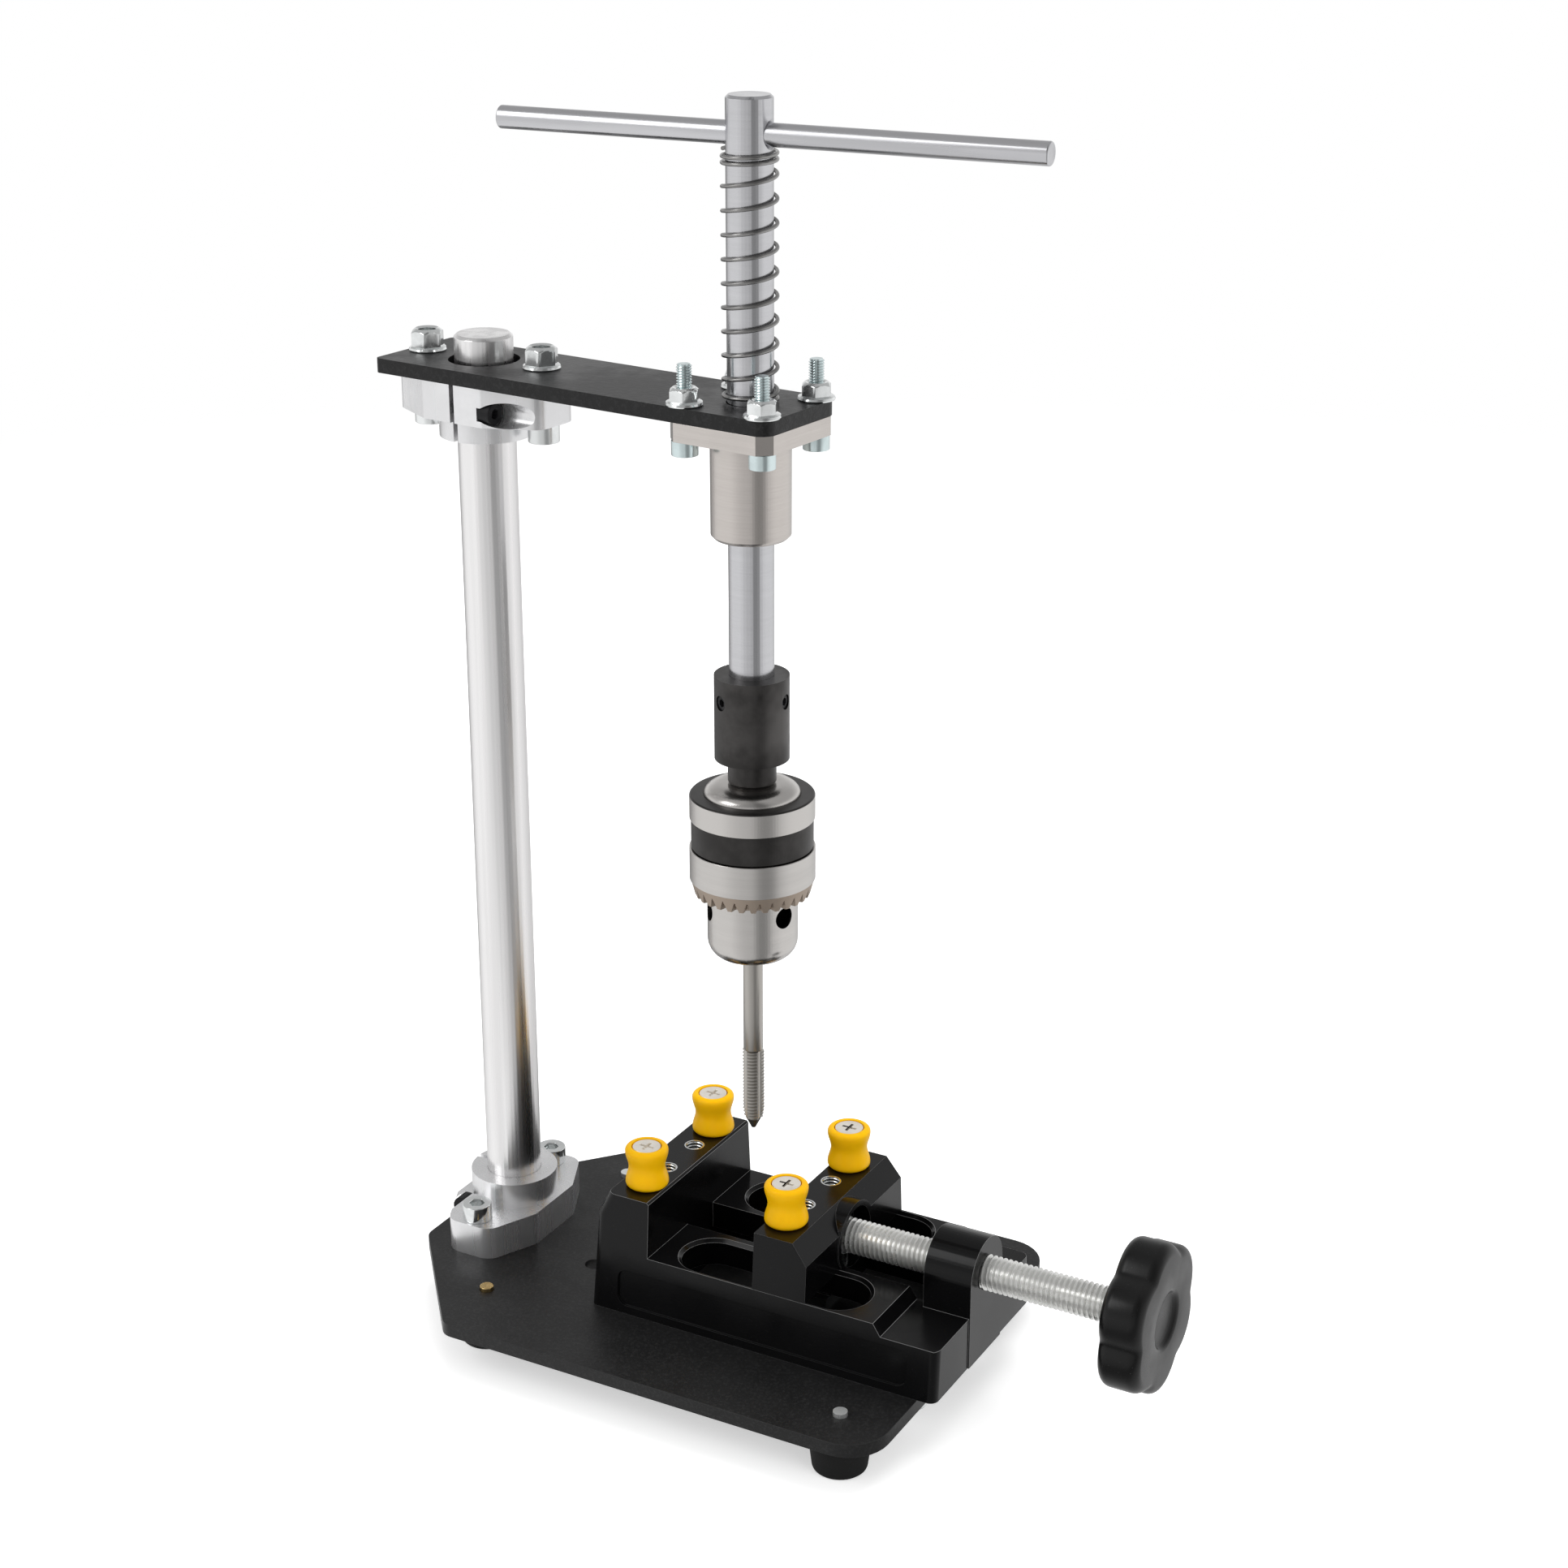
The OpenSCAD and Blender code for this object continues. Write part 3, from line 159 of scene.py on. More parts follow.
class ColourSettings(bpy.types.PropertyGroup):
    """Base colours of the finishes"""

    plate: colour("Plate coat", "Powder coat of the base plate", (0.009, 0.009, 0.0092))
    arm: colour("Arm coat", "Powder coat of the arm plate", (0.006, 0.006, 0.0062))
    casting: colour("Enamel", "Enamel of the vise", (0.0022, 0.0022, 0.0024))
    knob: colour("Knob", "Moulding of the star knob", (0.003, 0.003, 0.003))
    rubber: colour("Rubber", "Rubber of the feet and wipers", (0.012, 0.012, 0.012))
    oxide: colour("Black oxide", "Blackened steel", (0.045, 0.043, 0.042))
    aluminium: colour("Aluminium", "Machined clamps", (0.90, 0.90, 0.91))
    chrome: colour("Column", "Polished column", (0.92, 0.91, 0.91))
    ground: colour("Ground steel", "Spindle and handle bar", (0.62, 0.62, 0.64))
    bush: colour("Bush", "Guide bush", (0.62, 0.58, 0.55))
    chuck: colour("Chuck", "Turned steel of the chuck", (0.60, 0.58, 0.56))
    teeth: colour("Teeth", "Toothed bevel of the chuck", (0.42, 0.35, 0.29))
    tap: colour("Tap", "Tool steel of the tap", (0.48, 0.46, 0.43))
    zinc: colour("Zinc", "Bright zinc of screws and nuts", (0.88, 0.90, 0.90))
    lead: colour("Lead screw", "Bright zinc of the lead screw", (0.78, 0.78, 0.76))
    wire: colour("Spring", "Drawn wire of the spring", (0.33, 0.325, 0.32))
    brass: colour("Brass", "Brass screw tip", (0.70, 0.50, 0.22))
    amber: colour("Amber", "Moulding of the pegs", (1.0, 0.54, 0.003))


class StudioSettings(bpy.types.PropertyGroup):
    """Camera and lamps"""

    camera_place: FloatVectorProperty(
        name="Camera place", description="Where the camera stands", default=(0.347125, -0.632424, 0.448803),
        unit="LENGTH",
    )
    azimuth: angle_of("Azimuth", "Direction of the camera round the stand", 28.687)
    elevation: angle_of("Elevation", "Height of the camera above the horizon", 20.926)
    lens: number("Lens", "Focal length in millimetres", 66.05)
    key: number("Key", "Power of the key lamp", 6.5, unit="POWER")
    fill: number("Fill", "Power of the fill lamp", 8.0, unit="POWER")
    top: number("Top", "Power of the overhead lamp", 13.0, unit="POWER")
    ambient: number("Ambient", "Strength of the room light", 0.6)
    ceiling: number("Ceiling", "Brightness of the ceiling in mirrors", 0.5)
    floor_glow: number("Floor glow", "How much the floor near the stand lifts to white", 0.5)
    paper_fade: length("Paper fade", "Distance at which the floor fades to plain white", 700)
    mirror_side: number("Mirrored sides", "Brightness of the room's sides in mirrors", 0.94)
    mirror_front: number("Mirrored front", "Brightness of the camera's side in mirrors", 0.66)
    mirror_dip: number("Mirrored dip", "How much a narrow band of the front darkens", 0.36)


class StandSettings(bpy.types.PropertyGroup):
    """All settings of the tapping stand"""

    edges: PointerProperty(type=EdgeSettings)
    threads: PointerProperty(type=ThreadSettings)
    colours: PointerProperty(type=ColourSettings)
    studio: PointerProperty(type=StudioSettings)


def settings():
    """The settings of this scene."""
    return bpy.context.scene.tapping_stand


# --- mesh helpers


def turned(points, steps, loop=False, rise=0.0):
    """Turns a chain of (radius, height) points once about Z, as a screw if it rises. A loop is a whole section."""
    bm = bmesh.new()
    verts = [bm.verts.new((r, 0, z)) for r, z in points]
    pairs = list(zip(verts, verts[1:] + verts[:1] * loop))
    edges = [bm.edges.new(pair) for pair in pairs]
    bmesh.ops.spin(
        bm, geom=verts + edges, cent=(0, 0, 0), axis=(0, 0, 1), angle=math.tau, steps=steps,
        dvec=(0, 0, rise / steps), use_merge=not rise,
    )
    return bm


def lathe(profile, steps=96, loop=False):
    """A closed solid of revolution about Z from a profile of (radius, height) points."""
    bm = turned(profile, steps, loop)
    bmesh.ops.remove_doubles(bm, verts=bm.verts, dist=MERGE)
    bmesh.ops.recalc_face_normals(bm, faces=bm.faces)
    return bm


def reshape(bm, rule):
    """Moves each vertex in or out from Z: rule gives the new radius from the old one, the angle and the height."""
    for v in bm.verts:
        r = math.hypot(v.co.x, v.co.y)
        if r > MERGE:
            v.co.xy *= rule(r, math.atan2(v.co.y, v.co.x), v.co.z) / r
    return bm


def bevel(bm, edges, radius, segments):
    """Rounds edges, and gives the new faces."""
    return bmesh.ops.bevel(
        bm, geom=edges, offset=radius, offset_type="OFFSET", segments=segments, profile=0.5, affect="EDGES",
        clamp_overlap=True, material=-1,
    )["faces"]


def soften(bm, radius, angle=25):
    """Rounds every edge that is sharper than the angle, and marks the rounded faces."""
    rim = bm.faces.layers.float.get(EDGE) or bm.faces.layers.float.new(EDGE)
    sharp = [e for e in bm.edges if e.is_manifold and e.calc_face_angle(0) > math.radians(angle)]
    for face in bevel(bm, sharp, radius, 3):
        face[rim] = 1.0
    return bm


def moved(bm, *matrices):
    """Moves a shape through the matrices, the last one first."""
    for matrix in reversed(matrices):
        bmesh.ops.transform(bm, matrix=matrix, verts=bm.verts)
    return bm


def rounder(bm, place, cuts=3):
    """Divides the chords of every arc about the Z axis of a place, and lifts the new points onto the arcs."""
    bmesh.ops.transform(bm, matrix=place.inverted(), verts=bm.verts)
    layer = bm.verts.layers.float.new("arc radius")
    chords = set()
    shortest, longest = 0.02, 0.36  # chords of an arc, as shares of its radius
    for v in bm.verts:
        v.tag = True
    for e in bm.edges:
        a, b = e.verts
        r = a.co.xy.length
        same = abs(a.co.z - b.co.z) < 3 * MERGE and abs(b.co.xy.length - r) < 6 * MERGE
        if same and r > MM and shortest < e.calc_length() / r < longest:
            chords.add(e)
            a[layer] = b[layer] = r
    bmesh.ops.subdivide_edges(bm, edges=list(chords), cuts=cuts, use_grid_fill=True)
    for v in bm.verts:
        if not v.tag and v[layer] > v.co.xy.length:
            v.co.xy *= v[layer] / v.co.xy.length
        v.tag = False
    bm.verts.layers.float.remove(layer)
    bmesh.ops.transform(bm, matrix=place, verts=bm.verts)
    return bm


def trim(bm, height, up):
    """Cuts a shape square at a height, drops what is above it, or below it if up is -1, and closes the cut."""
    bmesh.ops.bisect_plane(
        bm, geom=bm.verts[:] + bm.edges[:] + bm.faces[:], plane_co=(0, 0, height), plane_no=(0, 0, up),
        clear_outer=True,
    )
    rim = [e for e in bm.edges if e.is_boundary and all(abs(v.co.z - height) < MERGE * 10 for v in e.verts)]
    bmesh.ops.holes_fill(bm, edges=rim, sides=0)
    return bm


def solids(node):
    """The boxes of a CAD node's separate solids, as pairs of corners."""
    bm = solid_of(node)
    left, boxes = set(bm.verts), []
    while left:
        solid, front = set(), {left.pop()}
        while front:
            solid |= front
            front = {e.other_vert(v) for v in front for e in v.link_edges} & left
            left -= front
        points = [v.co.copy() for v in solid]
        boxes.append((Vector(map(min, zip(*points))), Vector(map(max, zip(*points)))))
    bm.free()
    return sorted(boxes, key=lambda box: tuple(box[0]))


def axis_of(box, height=0.0):
    """A place on the upright axis of a box, turned with the arm."""
    low, high = box
    return Matrix.Translation(((low.x + high.x) / 2, (low.y + high.y) / 2, height)) @ Matrix.Rotation(ARM_SWING, 4, "Z")


def gather(shapes):
    """Joins shapes into one."""
    whole = bmesh.new()
    for bm in shapes:
        part = bpy.data.meshes.new("part")
        bm.to_mesh(part)
        bm.free()
        whole.from_mesh(part)
        bpy.data.meshes.remove(part)
    return whole


def solid_of(node):
    """A merged copy of a CAD node, with its flat faces whole."""
    bm = bmesh.new()
    bm.from_mesh(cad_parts[node].data)
    bmesh.ops.remove_doubles(bm, verts=bm.verts, dist=MERGE)
    bmesh.ops.dissolve_limit(
        bm, angle_limit=math.radians(0.4), use_dissolve_boundaries=False, verts=bm.verts, edges=bm.edges, delimit=set()
    )
    bmesh.ops.dissolve_degenerate(bm, dist=MERGE, edges=bm.edges)
    return bm


def thread(radius, depth, pitch, low, high, steps=40, lead=0.0):
    """A threaded rod from low to high: one helical turn of a row of crests, cut square, with a tapered top."""
    root = radius - depth
    turns = math.ceil((high - low) / pitch) + 3
    start = low - 1.5 * pitch
    section = [(root, 0.0), (root, 0.12), (radius, 0.44), (radius, 0.56), (root, 0.88)]  # heights in pitches
    crests = [(r, start + (turn + z) * pitch) for turn in range(turns) for r, z in section]
    bm = turned([*crests, (root, start + turns * pitch)], steps, rise=pitch)
    bmesh.ops.remove_doubles(bm, verts=bm.verts, dist=MERGE * 4)
    trim(trim(bm, low, -1), high, 1)
    if lead:
        reshape(bm, lambda r, angle, z: min(r, radius - max(0, z - (high - lead))))
    bmesh.ops.recalc_face_normals(bm, faces=bm.faces)
    return bm


def flange_nut(across, flange_radius, flange_height, height, bore, chamfer):
    """A hexagonal nut on a round flange, with a dished top."""
    flat = across / 2
    corner = flat / math.cos(math.radians(30))
    crown = [(corner - step * chamfer / 4, height - chamfer + step * chamfer / 5) for step in range(6)]
    profile = [
        (bore, 0), (flange_radius - 0.15 * MM, 0), (flange_radius, 0.3 * MM),
        (flange_radius - 0.2 * MM, flange_height * 0.7), (corner + 0.2 * MM, flange_height),
        (corner, flange_height + 0.1 * MM), *crown,
        (bore + 0.5 * MM, height - 0.05 * MM), (bore, height - 0.5 * MM),
    ]
    return reshape(
        lathe(profile, 72, loop=True),
        lambda r, angle, z: min(r, flat / math.cos(angle % (math.pi / 3) - math.pi / 6)) if z > flange_height else r,
    )


def linked(name, data):
    """An object of mesh, lamp or camera data, in the scene."""
    obj = bpy.data.objects.new(name, data)
    bpy.context.scene.collection.objects.link(obj)
    return obj


def piece(name, bm, material, body, node, angle=35):
    """Makes an object of a shape, with its finish, which rides on a body and stands for a CAD node."""
    mesh = bpy.data.meshes.new(name)
    bm.to_mesh(mesh)
    bm.free()
    mesh.shade_smooth()
    mesh.set_sharp_from_angle(angle=math.radians(angle))
    mesh.materials.append(material)
    obj = linked(name, mesh)
    if body:
        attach(obj, body)
    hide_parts(node)
    return obj


def softened(node, name, radius, material, body, slot, angle=25, axes=(), corner=0.0):
    """A piece that is a CAD node with rounded edges, true arcs about the axes, and rounder upright outer corners."""
    bm = solid_of(node)
    if corner:
        low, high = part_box(node)
        zone = Vector((8 * MM, 6 * MM, 0))  # how near the box's corners an outer edge stands
        far = (high - low) / 2 - zone
        posts = [
            e for e in bm.edges
            if abs((e.verts[0].co - e.verts[1].co).normalized().z) > 0.8
            and all(abs(v.co.x - (low.x + high.x) / 2) > far.x and abs(v.co.y) > far.y for v in e.verts)
        ]
        bevel(bm, posts, corner, 6)
    for place in axes:
        rounder(bm, place)
    obj = piece(name, soften(bm, radius, angle), material, body, node)
    obj.modifiers.new("flat faces first", "WEIGHTED_NORMAL").keep_sharp = True
    return obj


# --- shader helpers


class Nodes:
    """Short names for making nodes in one tree."""

    def __init__(self, tree):
        self.tree = tree

    def add(self, kind, **values):
        """Adds a node, with its properties by name and its inputs by socket name or number."""
        node = self.tree.nodes.new(kind)
        inputs = values.pop("inputs", {})
        for key, value in values.items():
            setattr(node, key, value)
        for key, value in inputs.items():
            self.feed(node.inputs[key], value)
        return node

    def feed(self, socket, value):
        """Links a socket or sets its value."""
        if isinstance(value, bpy.types.NodeSocket):
            self.tree.links.new(value, socket)
        else:
            socket.default_value = value

    def math(self, operation, a, b=0.0, clamp=False):
        """A math node's result."""
        return self.add("ShaderNodeMath", operation=operation, use_clamp=clamp, inputs={0: a, 1: b}).outputs[0]

    def ramp(self, value, low, high, out_low=0.0, out_high=1.0):
        """A smooth step of a value between two limits."""
        node = self.add(
            "ShaderNodeMapRange", interpolation_type="SMOOTHSTEP",
            inputs={"Value": value, "From Min": low, "From Max": high, "To Min": out_low, "To Max": out_high},
        )
        return node.outputs["Result"]

    def mix(self, factor, a, b):
        """A mix of two colours."""
        inputs = {"Factor": factor, "A": a, "B": b}
        return self.add("ShaderNodeMix", data_type="RGBA", inputs=inputs).outputs["Result"]

    def vector(self, operation, a, b=(0, 0, 0), output="Vector"):
        """A vector math node's result."""
        return self.add("ShaderNodeVectorMath", operation=operation, inputs={0: a, 1: b}).outputs[output]

    def height(self, vector):
        """The part of a vector along Z."""
        return self.add("ShaderNodeSeparateXYZ", inputs={"Vector": vector}).outputs["Z"]

    def noise(self, vector, scale, detail=3.0, roughness=0.5):
        """Noise between 0 and 1."""
        node = self.add(
            "ShaderNodeTexNoise", inputs={"Vector": vector, "Scale": scale, "Detail": detail, "Roughness": roughness}
        )
        return node.outputs["Fac"]

    def stretched(self, vector, scale):
        """A vector scaled by its own amount along each axis."""
        return self.add("ShaderNodeMapping", inputs={"Vector": vector, "Scale": scale}).outputs["Vector"]


def shared(name, dial, usual, results, rule):
    """A shader group with a place and one dial, made once: the rule gives its two results from them."""
    if name in bpy.data.node_groups:
        return bpy.data.node_groups[name]
    tree = bpy.data.node_groups.new(name, "ShaderNodeTree")
    tree.interface.new_socket("Vector", in_out="INPUT", socket_type="NodeSocketVector")
    tree.interface.new_socket(dial, in_out="INPUT", socket_type="NodeSocketFloat").default_value = usual
    for result in results:
        tree.interface.new_socket(result, in_out="OUTPUT", socket_type="NodeSocketFloat")
    nodes = Nodes(tree)
    given, out = nodes.add("NodeGroupInput").outputs, nodes.add("NodeGroupOutput").inputs
    for result, value in zip(results, rule(nodes, given["Vector"], given[dial])):
        nodes.feed(out[result], value)
    return tree


def coat_grain():
    """Orange peel and fine specks of a sprayed coat."""

    def rule(n, place, scale):
        """Peel and specks together, and broad mottling."""
        place = n.add("ShaderNodeVectorMath", operation="SCALE", inputs={0: place, "Scale": scale}).outputs[0]
        peel, specks = n.noise(place, 900.0, 2.0), n.noise(place, 2600.0, 2.0, 0.7)
        height = n.math("ADD", n.math("MULTIPLY", peel, 0.6), n.math("MULTIPLY", specks, 0.4))
        return height, n.ramp(n.noise(place, 60.0, 4.0, 0.6), 0.35, 0.65)

    return shared("coat grain", "Scale", 1.0, ("Height", "Mottle"), rule)


def turned_lines():
    """Fine tool lines round Z, from height alone, with slow streaks across them."""

    def rule(n, place, lines):
        """The lines, and streaks of both widths."""
        flat = n.stretched(place, (0.02, 0.02, 1.0))
        fine, broad = n.noise(flat, lines, 3.0, 0.7), n.noise(flat, 500.0, 2.0)
        both = n.math("ADD", n.math("MULTIPLY", fine, 0.5), n.math("MULTIPLY", broad, 0.5))
        return fine, n.ramp(both, 0.35, 0.65)

    return shared("turned lines", "Lines", 4000.0, ("Height", "Streak"), rule)


def drawn_lines():
    """Long fine scratches along Z, as on drawn and polished bar."""

    def rule(n, place, lines):
        """The scratches, and broad streaks."""
        tall = n.stretched(place, (1.0, 1.0, 0.012))
        return n.noise(tall, lines, 3.0, 0.6), n.ramp(n.noise(tall, 260.0, 3.0), 0.35, 0.65)

    return shared("drawn lines", "Lines", 1500.0, ("Height", "Streak"), rule)


def handling_marks():
    """Sparse soft smudges and tiny dust specks."""

    def rule(n, place, amount):
        """The smudges and the dust."""
        smudge = n.ramp(n.noise(place, 45.0, 3.0, 0.6), 0.5, 0.72)
        dust = n.ramp(n.noise(place, 3200.0, 1.0), 0.74, 0.8)
        return n.math("MULTIPLY", smudge, amount), n.math("MULTIPLY", dust, amount)

    return shared("handling marks", "Amount", 0.5, ("Smudge", "Dust"), rule)


class Finish:
    """A material under construction: its tree, its shader and the shared effects placed in it."""

    def __init__(self, name, base, metallic, roughness, **constants):
        self.material = bpy.data.materials.new(name)
        self.material.use_nodes = True
        self.nodes = Nodes(self.material.node_tree)
        self.shader = self.material.node_tree.nodes["Principled BSDF"]
        self.base = (*base, 1.0)
        constants.update(Base_Color=self.base, Metallic=metallic, Roughness=roughness)
        for socket, value in constants.items():
            self.shader.inputs[socket.replace("_", " ")].default_value = value
        self.place = self.nodes.add("ShaderNodeTexCoord").outputs["Object"]

    def centred(self, origin, turn=(0, 0, 0)):
        """Centres the pattern's coordinates on a point and turns them."""
        about = self.nodes.vector("SUBTRACT", self.place, tuple(origin))
        self.place = self.nodes.add("ShaderNodeMapping", inputs={"Vector": about, "Rotation": turn}).outputs["Vector"]
        return self

    def effect(self, tree, **values):
        """Places a shared effect."""
        return self.nodes.add("ShaderNodeGroup", node_tree=tree, inputs={"Vector": self.place, **values}).outputs

    def band(self, low, high, edge=0.06 * MM):
        """1 between two heights of the pattern's coordinates."""
        n = self.nodes
        z = n.height(self.place)
        return n.math("MULTIPLY", n.ramp(z, low - edge, low + edge), n.ramp(z, high - edge, high + edge, 1.0, 0.0))

    def beyond(self, radius, edge=0.06 * MM):
        """1 further from the Z axis of the pattern's coordinates than a radius."""
        n = self.nodes
        away = n.vector("LENGTH", n.vector("MULTIPLY", self.place, (1, 1, 0)), output="Value")
        return n.ramp(away, radius - edge, radius + edge)

    def rims(self):
        """1 on the rounded edges."""
        return self.nodes.add("ShaderNodeAttribute", attribute_name=EDGE).outputs["Fac"]

    def tint(self, mask, colour_to):
        """Blends the base colour to another one by a mask."""
        socket = self.shader.inputs["Base Color"]
        now = socket.links[0].from_socket if socket.links else self.base
        self.nodes.feed(socket, self.nodes.mix(mask, now, (*colour_to, 1.0)))
        return self

    def shaded(self, mask, factor):
        """Blends the base colour to a lighter or darker version of its own by a mask."""
        return self.tint(mask, [min(1.0, part * factor) for part in self.base[:3]])

    def mottled(self, scale, factor):
        """Places the coat's grain with its mottling lighter or darker, and gives the grain."""
        grain = self.effect(coat_grain(), Scale=scale)
        self.shaded(grain["Mottle"], factor)
        return grain

    def smudged(self, amount, factor):
        """Adds soft smudges, lighter or darker than the base colour."""
        return self.shaded(self.effect(handling_marks(), Amount=amount)["Smudge"], factor)

    def dusty(self, amount, grey):
        """Adds specks of grey dust."""
        return self.tint(self.effect(handling_marks(), Amount=amount)["Dust"], (grey, grey, grey))

    def rough(self, mask, low, high):
        """Varies the roughness by a mask."""
        self.nodes.feed(self.shader.inputs["Roughness"], self.nodes.ramp(mask, 0.0, 1.0, low, high))
        return self

    def bump(self, height, depth, strength=1.0):
        """Adds relief, with its depth in millimetres."""
        socket = self.shader.inputs["Normal"]
        node = self.nodes.add("ShaderNodeBump", inputs={"Height": height, "Strength": strength, "Distance": depth * MM})
        if socket.links:
            self.nodes.feed(node.inputs["Normal"], socket.links[0].from_socket)
        self.nodes.feed(socket, node.outputs["Normal"])
        return self


def coat_finish(name, base, roughness, relief, scale=1.0, sheen=0.16, rim=1.0, peel_highlight=1.0):
    """Sprayed black coat with orange peel whose tips carry a painted highlight, and a painted highlight that makes the
    rims lighter than the rest.
    """
    finish = Finish(name, base, 0.0, roughness, Specular_IOR_Level=sheen)
    grain = finish.mottled(scale, 1.25)
    finish.dusty(0.6, 0.11)
    # painted highlight: the raised tips of the orange peel are made lighter
    if peel_highlight != 1.0:
        finish.shaded(finish.nodes.ramp(grain["Height"], 0.48, 0.64), peel_highlight)
    # painted highlight: the rounded rims are made lighter than the rest of the coat
    if rim != 1.0:
        finish.shaded(finish.rims(), rim)
    finish.rough(grain["Mottle"], roughness - 0.04, roughness + 0.05)
    return finish.bump(grain["Height"], relief).material


def lined(name, base, roughness, tree, lines, relief, origin=SPINDLE_AXIS, turn=(0, 0, 0), metallic=1.0):
    """Metal with the relief of a shared line pattern about an axis. Gives the finish and the pattern's streaks."""
    finish = Finish(name, base, metallic, roughness).centred(origin, turn)
    pattern = finish.effect(tree, Lines=lines)
    return finish.bump(pattern["Height"], relief), pattern["Streak"]


def turned_finish(name, base, roughness, relief=0.0008, lines=4000.0):
    """Turned or ground steel, with lines round the spindle's axis."""
    finish, streaks = lined(name, base, roughness, turned_lines(), lines, relief)
    finish.shaded(streaks, 0.95).smudged(0.35, 0.86)
    return finish.rough(streaks, roughness - 0.02, roughness + 0.03).material


def drawn_finish(name, base, roughness, origin, turn=(0, 0, 0), relief=0.002):
    """Drawn or polished bar, with lines along an axis."""
    finish, streaks = lined(name, base, roughness, drawn_lines(), 1500.0, relief, origin, turn)
    finish.shaded(streaks, 0.9).smudged(0.3, 0.92)
    return finish.rough(streaks, roughness - 0.03, roughness + 0.05).material


def plated_finish(name, base, roughness, metal=1.0):
    """Bright zinc plate with faint blotches."""
    finish = Finish(name, base, metal, roughness)
    grain = finish.mottled(2.0, 0.88)
    finish.rough(grain["Mottle"], roughness - 0.05, roughness + 0.08)
    return finish.bump(grain["Height"], 0.004, 0.6).material


# --- pieces


class DressOperator(bpy.types.Operator):
    """Shared options of the operators"""

    bl_options = {"REGISTER", "UNDO"}


class STAND_OT_base_plate(DressOperator):
    """Base plate with its black coat, and the feet with their screws"""

    bl_idname = "stand.base_plate"
    bl_label = "Base plate and feet"

    def execute(self, context):
        s = settings()
        # the rim and last factors paint highlights on the coat's rims and peel tips
        coat = coat_finish("plate coat", s.colours.plate, 0.42, 0.05, 1.3, sheen=0.3, rim=2.0, peel_highlight=2.2)
        rubber = coat_finish("foot rubber", s.colours.rubber, 0.68, 0.03, 0.6)
        satin = plated_finish("satin zinc", s.colours.zinc, 0.35, metal=0.8)
        brass = plated_finish("brass", s.colours.brass, 0.3)
        softened("base_plate", "coated_base_plate", s.edges.plate, coat, "base", "black_plate")
        softened("feet", "rubber_feet", s.edges.rubber, rubber, "base", "foot_rubber", angle=50)
        for node, name, finish, slot in (
            ("foot_screws", "zinc_foot_screws", satin, "zinc_screw"),
            ("foot_screw_brass", "brass_foot_screw", brass, "brass_screw"),
            ("vise_mount_screws", "zinc_vise_mount_screws", zinc_plate(), "zinc"),
        ):
            softened(node, name, s.edges.screw, finish, "base", slot)
        return {"FINISHED"}


def zinc_plate():
    """The zinc finish that all plated screws and nuts share."""
    return bpy.data.materials.get("zinc plate") or plated_finish("zinc plate", settings().colours.zinc, 0.16)


def machined_aluminium():
    """The finish of both column clamps."""
    name, base = "machined aluminium", settings().colours.aluminium
    if name in bpy.data.materials:
        return bpy.data.materials[name]
    finish, streaks = lined(name, base, 0.28, drawn_lines(), 1500.0, 0.0004, COLUMN_AXIS, metallic=0.86)
    finish.mottled(1.0, 0.9)
    return finish.rough(streaks, 0.26, 0.3).material


def black_steel():
    """Blackened steel of the socket screws."""
    name = "black steel"
    return bpy.data.materials.get(name) or coat_finish(name, (0.012, 0.012, 0.013), 0.35, 0.004, 2.0)


def clamped(s, body, level, clamp, bolts, side_screw):
    """A column clamp with its upright bolts and its side screw, each in place of a CAD node."""
    cast = machined_aluminium()
    softened(clamp, f"{level}_column_clamp", s.edges.clamp, cast, body, "cast_aluminium", axes=[AT_COLUMN])
    softened(bolts, f"{level}_clamp_bolts", s.edges.screw, zinc_plate(), body, "zinc")
    softened(side_screw, f"{level}_clamp_side_screw", s.edges.screw, black_steel(), body, "black_screw")


def flange_nuts(node, name, across, flange_radius, bore, chamfer):
    """A piece with a flange nut in place of each nut of a CAD node."""
    top = high_z(node)
    nuts = [
        moved(flange_nut(across, flange_radius, 1.2 * MM, top - box[0].z, bore, chamfer), axis_of(box, box[0].z))
        for box in solids(node)
    ]
    piece(name, gather(nuts), zinc_plate(), "arm", node)


class STAND_OT_column(DressOperator):
    """Polished column with its lower clamp and screws"""

    bl_idname = "stand.column"
    bl_label = "Column"

    def execute(self, context):
        s = settings()
        polish = drawn_finish("polished column", s.colours.chrome, 0.25, COLUMN_AXIS)
        softened("column", "polished_column", 0.1 * MM, polish, "column", "polished_steel", axes=[AT_COLUMN])
        clamped(s, "base", "lower", "column_flange", "column_flange_screws", "column_clamp_screw")
        return {"FINISHED"}


class STAND_OT_arm(DressOperator):
    """Arm plate with the clamp that holds it to the column"""

    bl_idname = "stand.arm"
    bl_label = "Arm"

    def execute(self, context):
        s = settings()
        # the rim and last factors paint highlights on the coat's rims and peel tips
        coat = coat_finish("arm coat", s.colours.arm, 0.36, 0.1, 0.7, sheen=0.3, rim=2.5, peel_highlight=2.8)
        softened("arm_plate", "coated_arm_plate", s.edges.plate, coat, "arm", "black_arm", axes=[AT_COLUMN])
        clamped(s, "arm", "upper", "arm_clamp", "arm_clamp_bolts", "arm_clamp_screw")
        flange_nuts("arm_clamp_nuts", "flange_nuts", 8 * MM, 5.2 * MM, 2.55 * MM, 1.1 * MM)
        return {"FINISHED"}


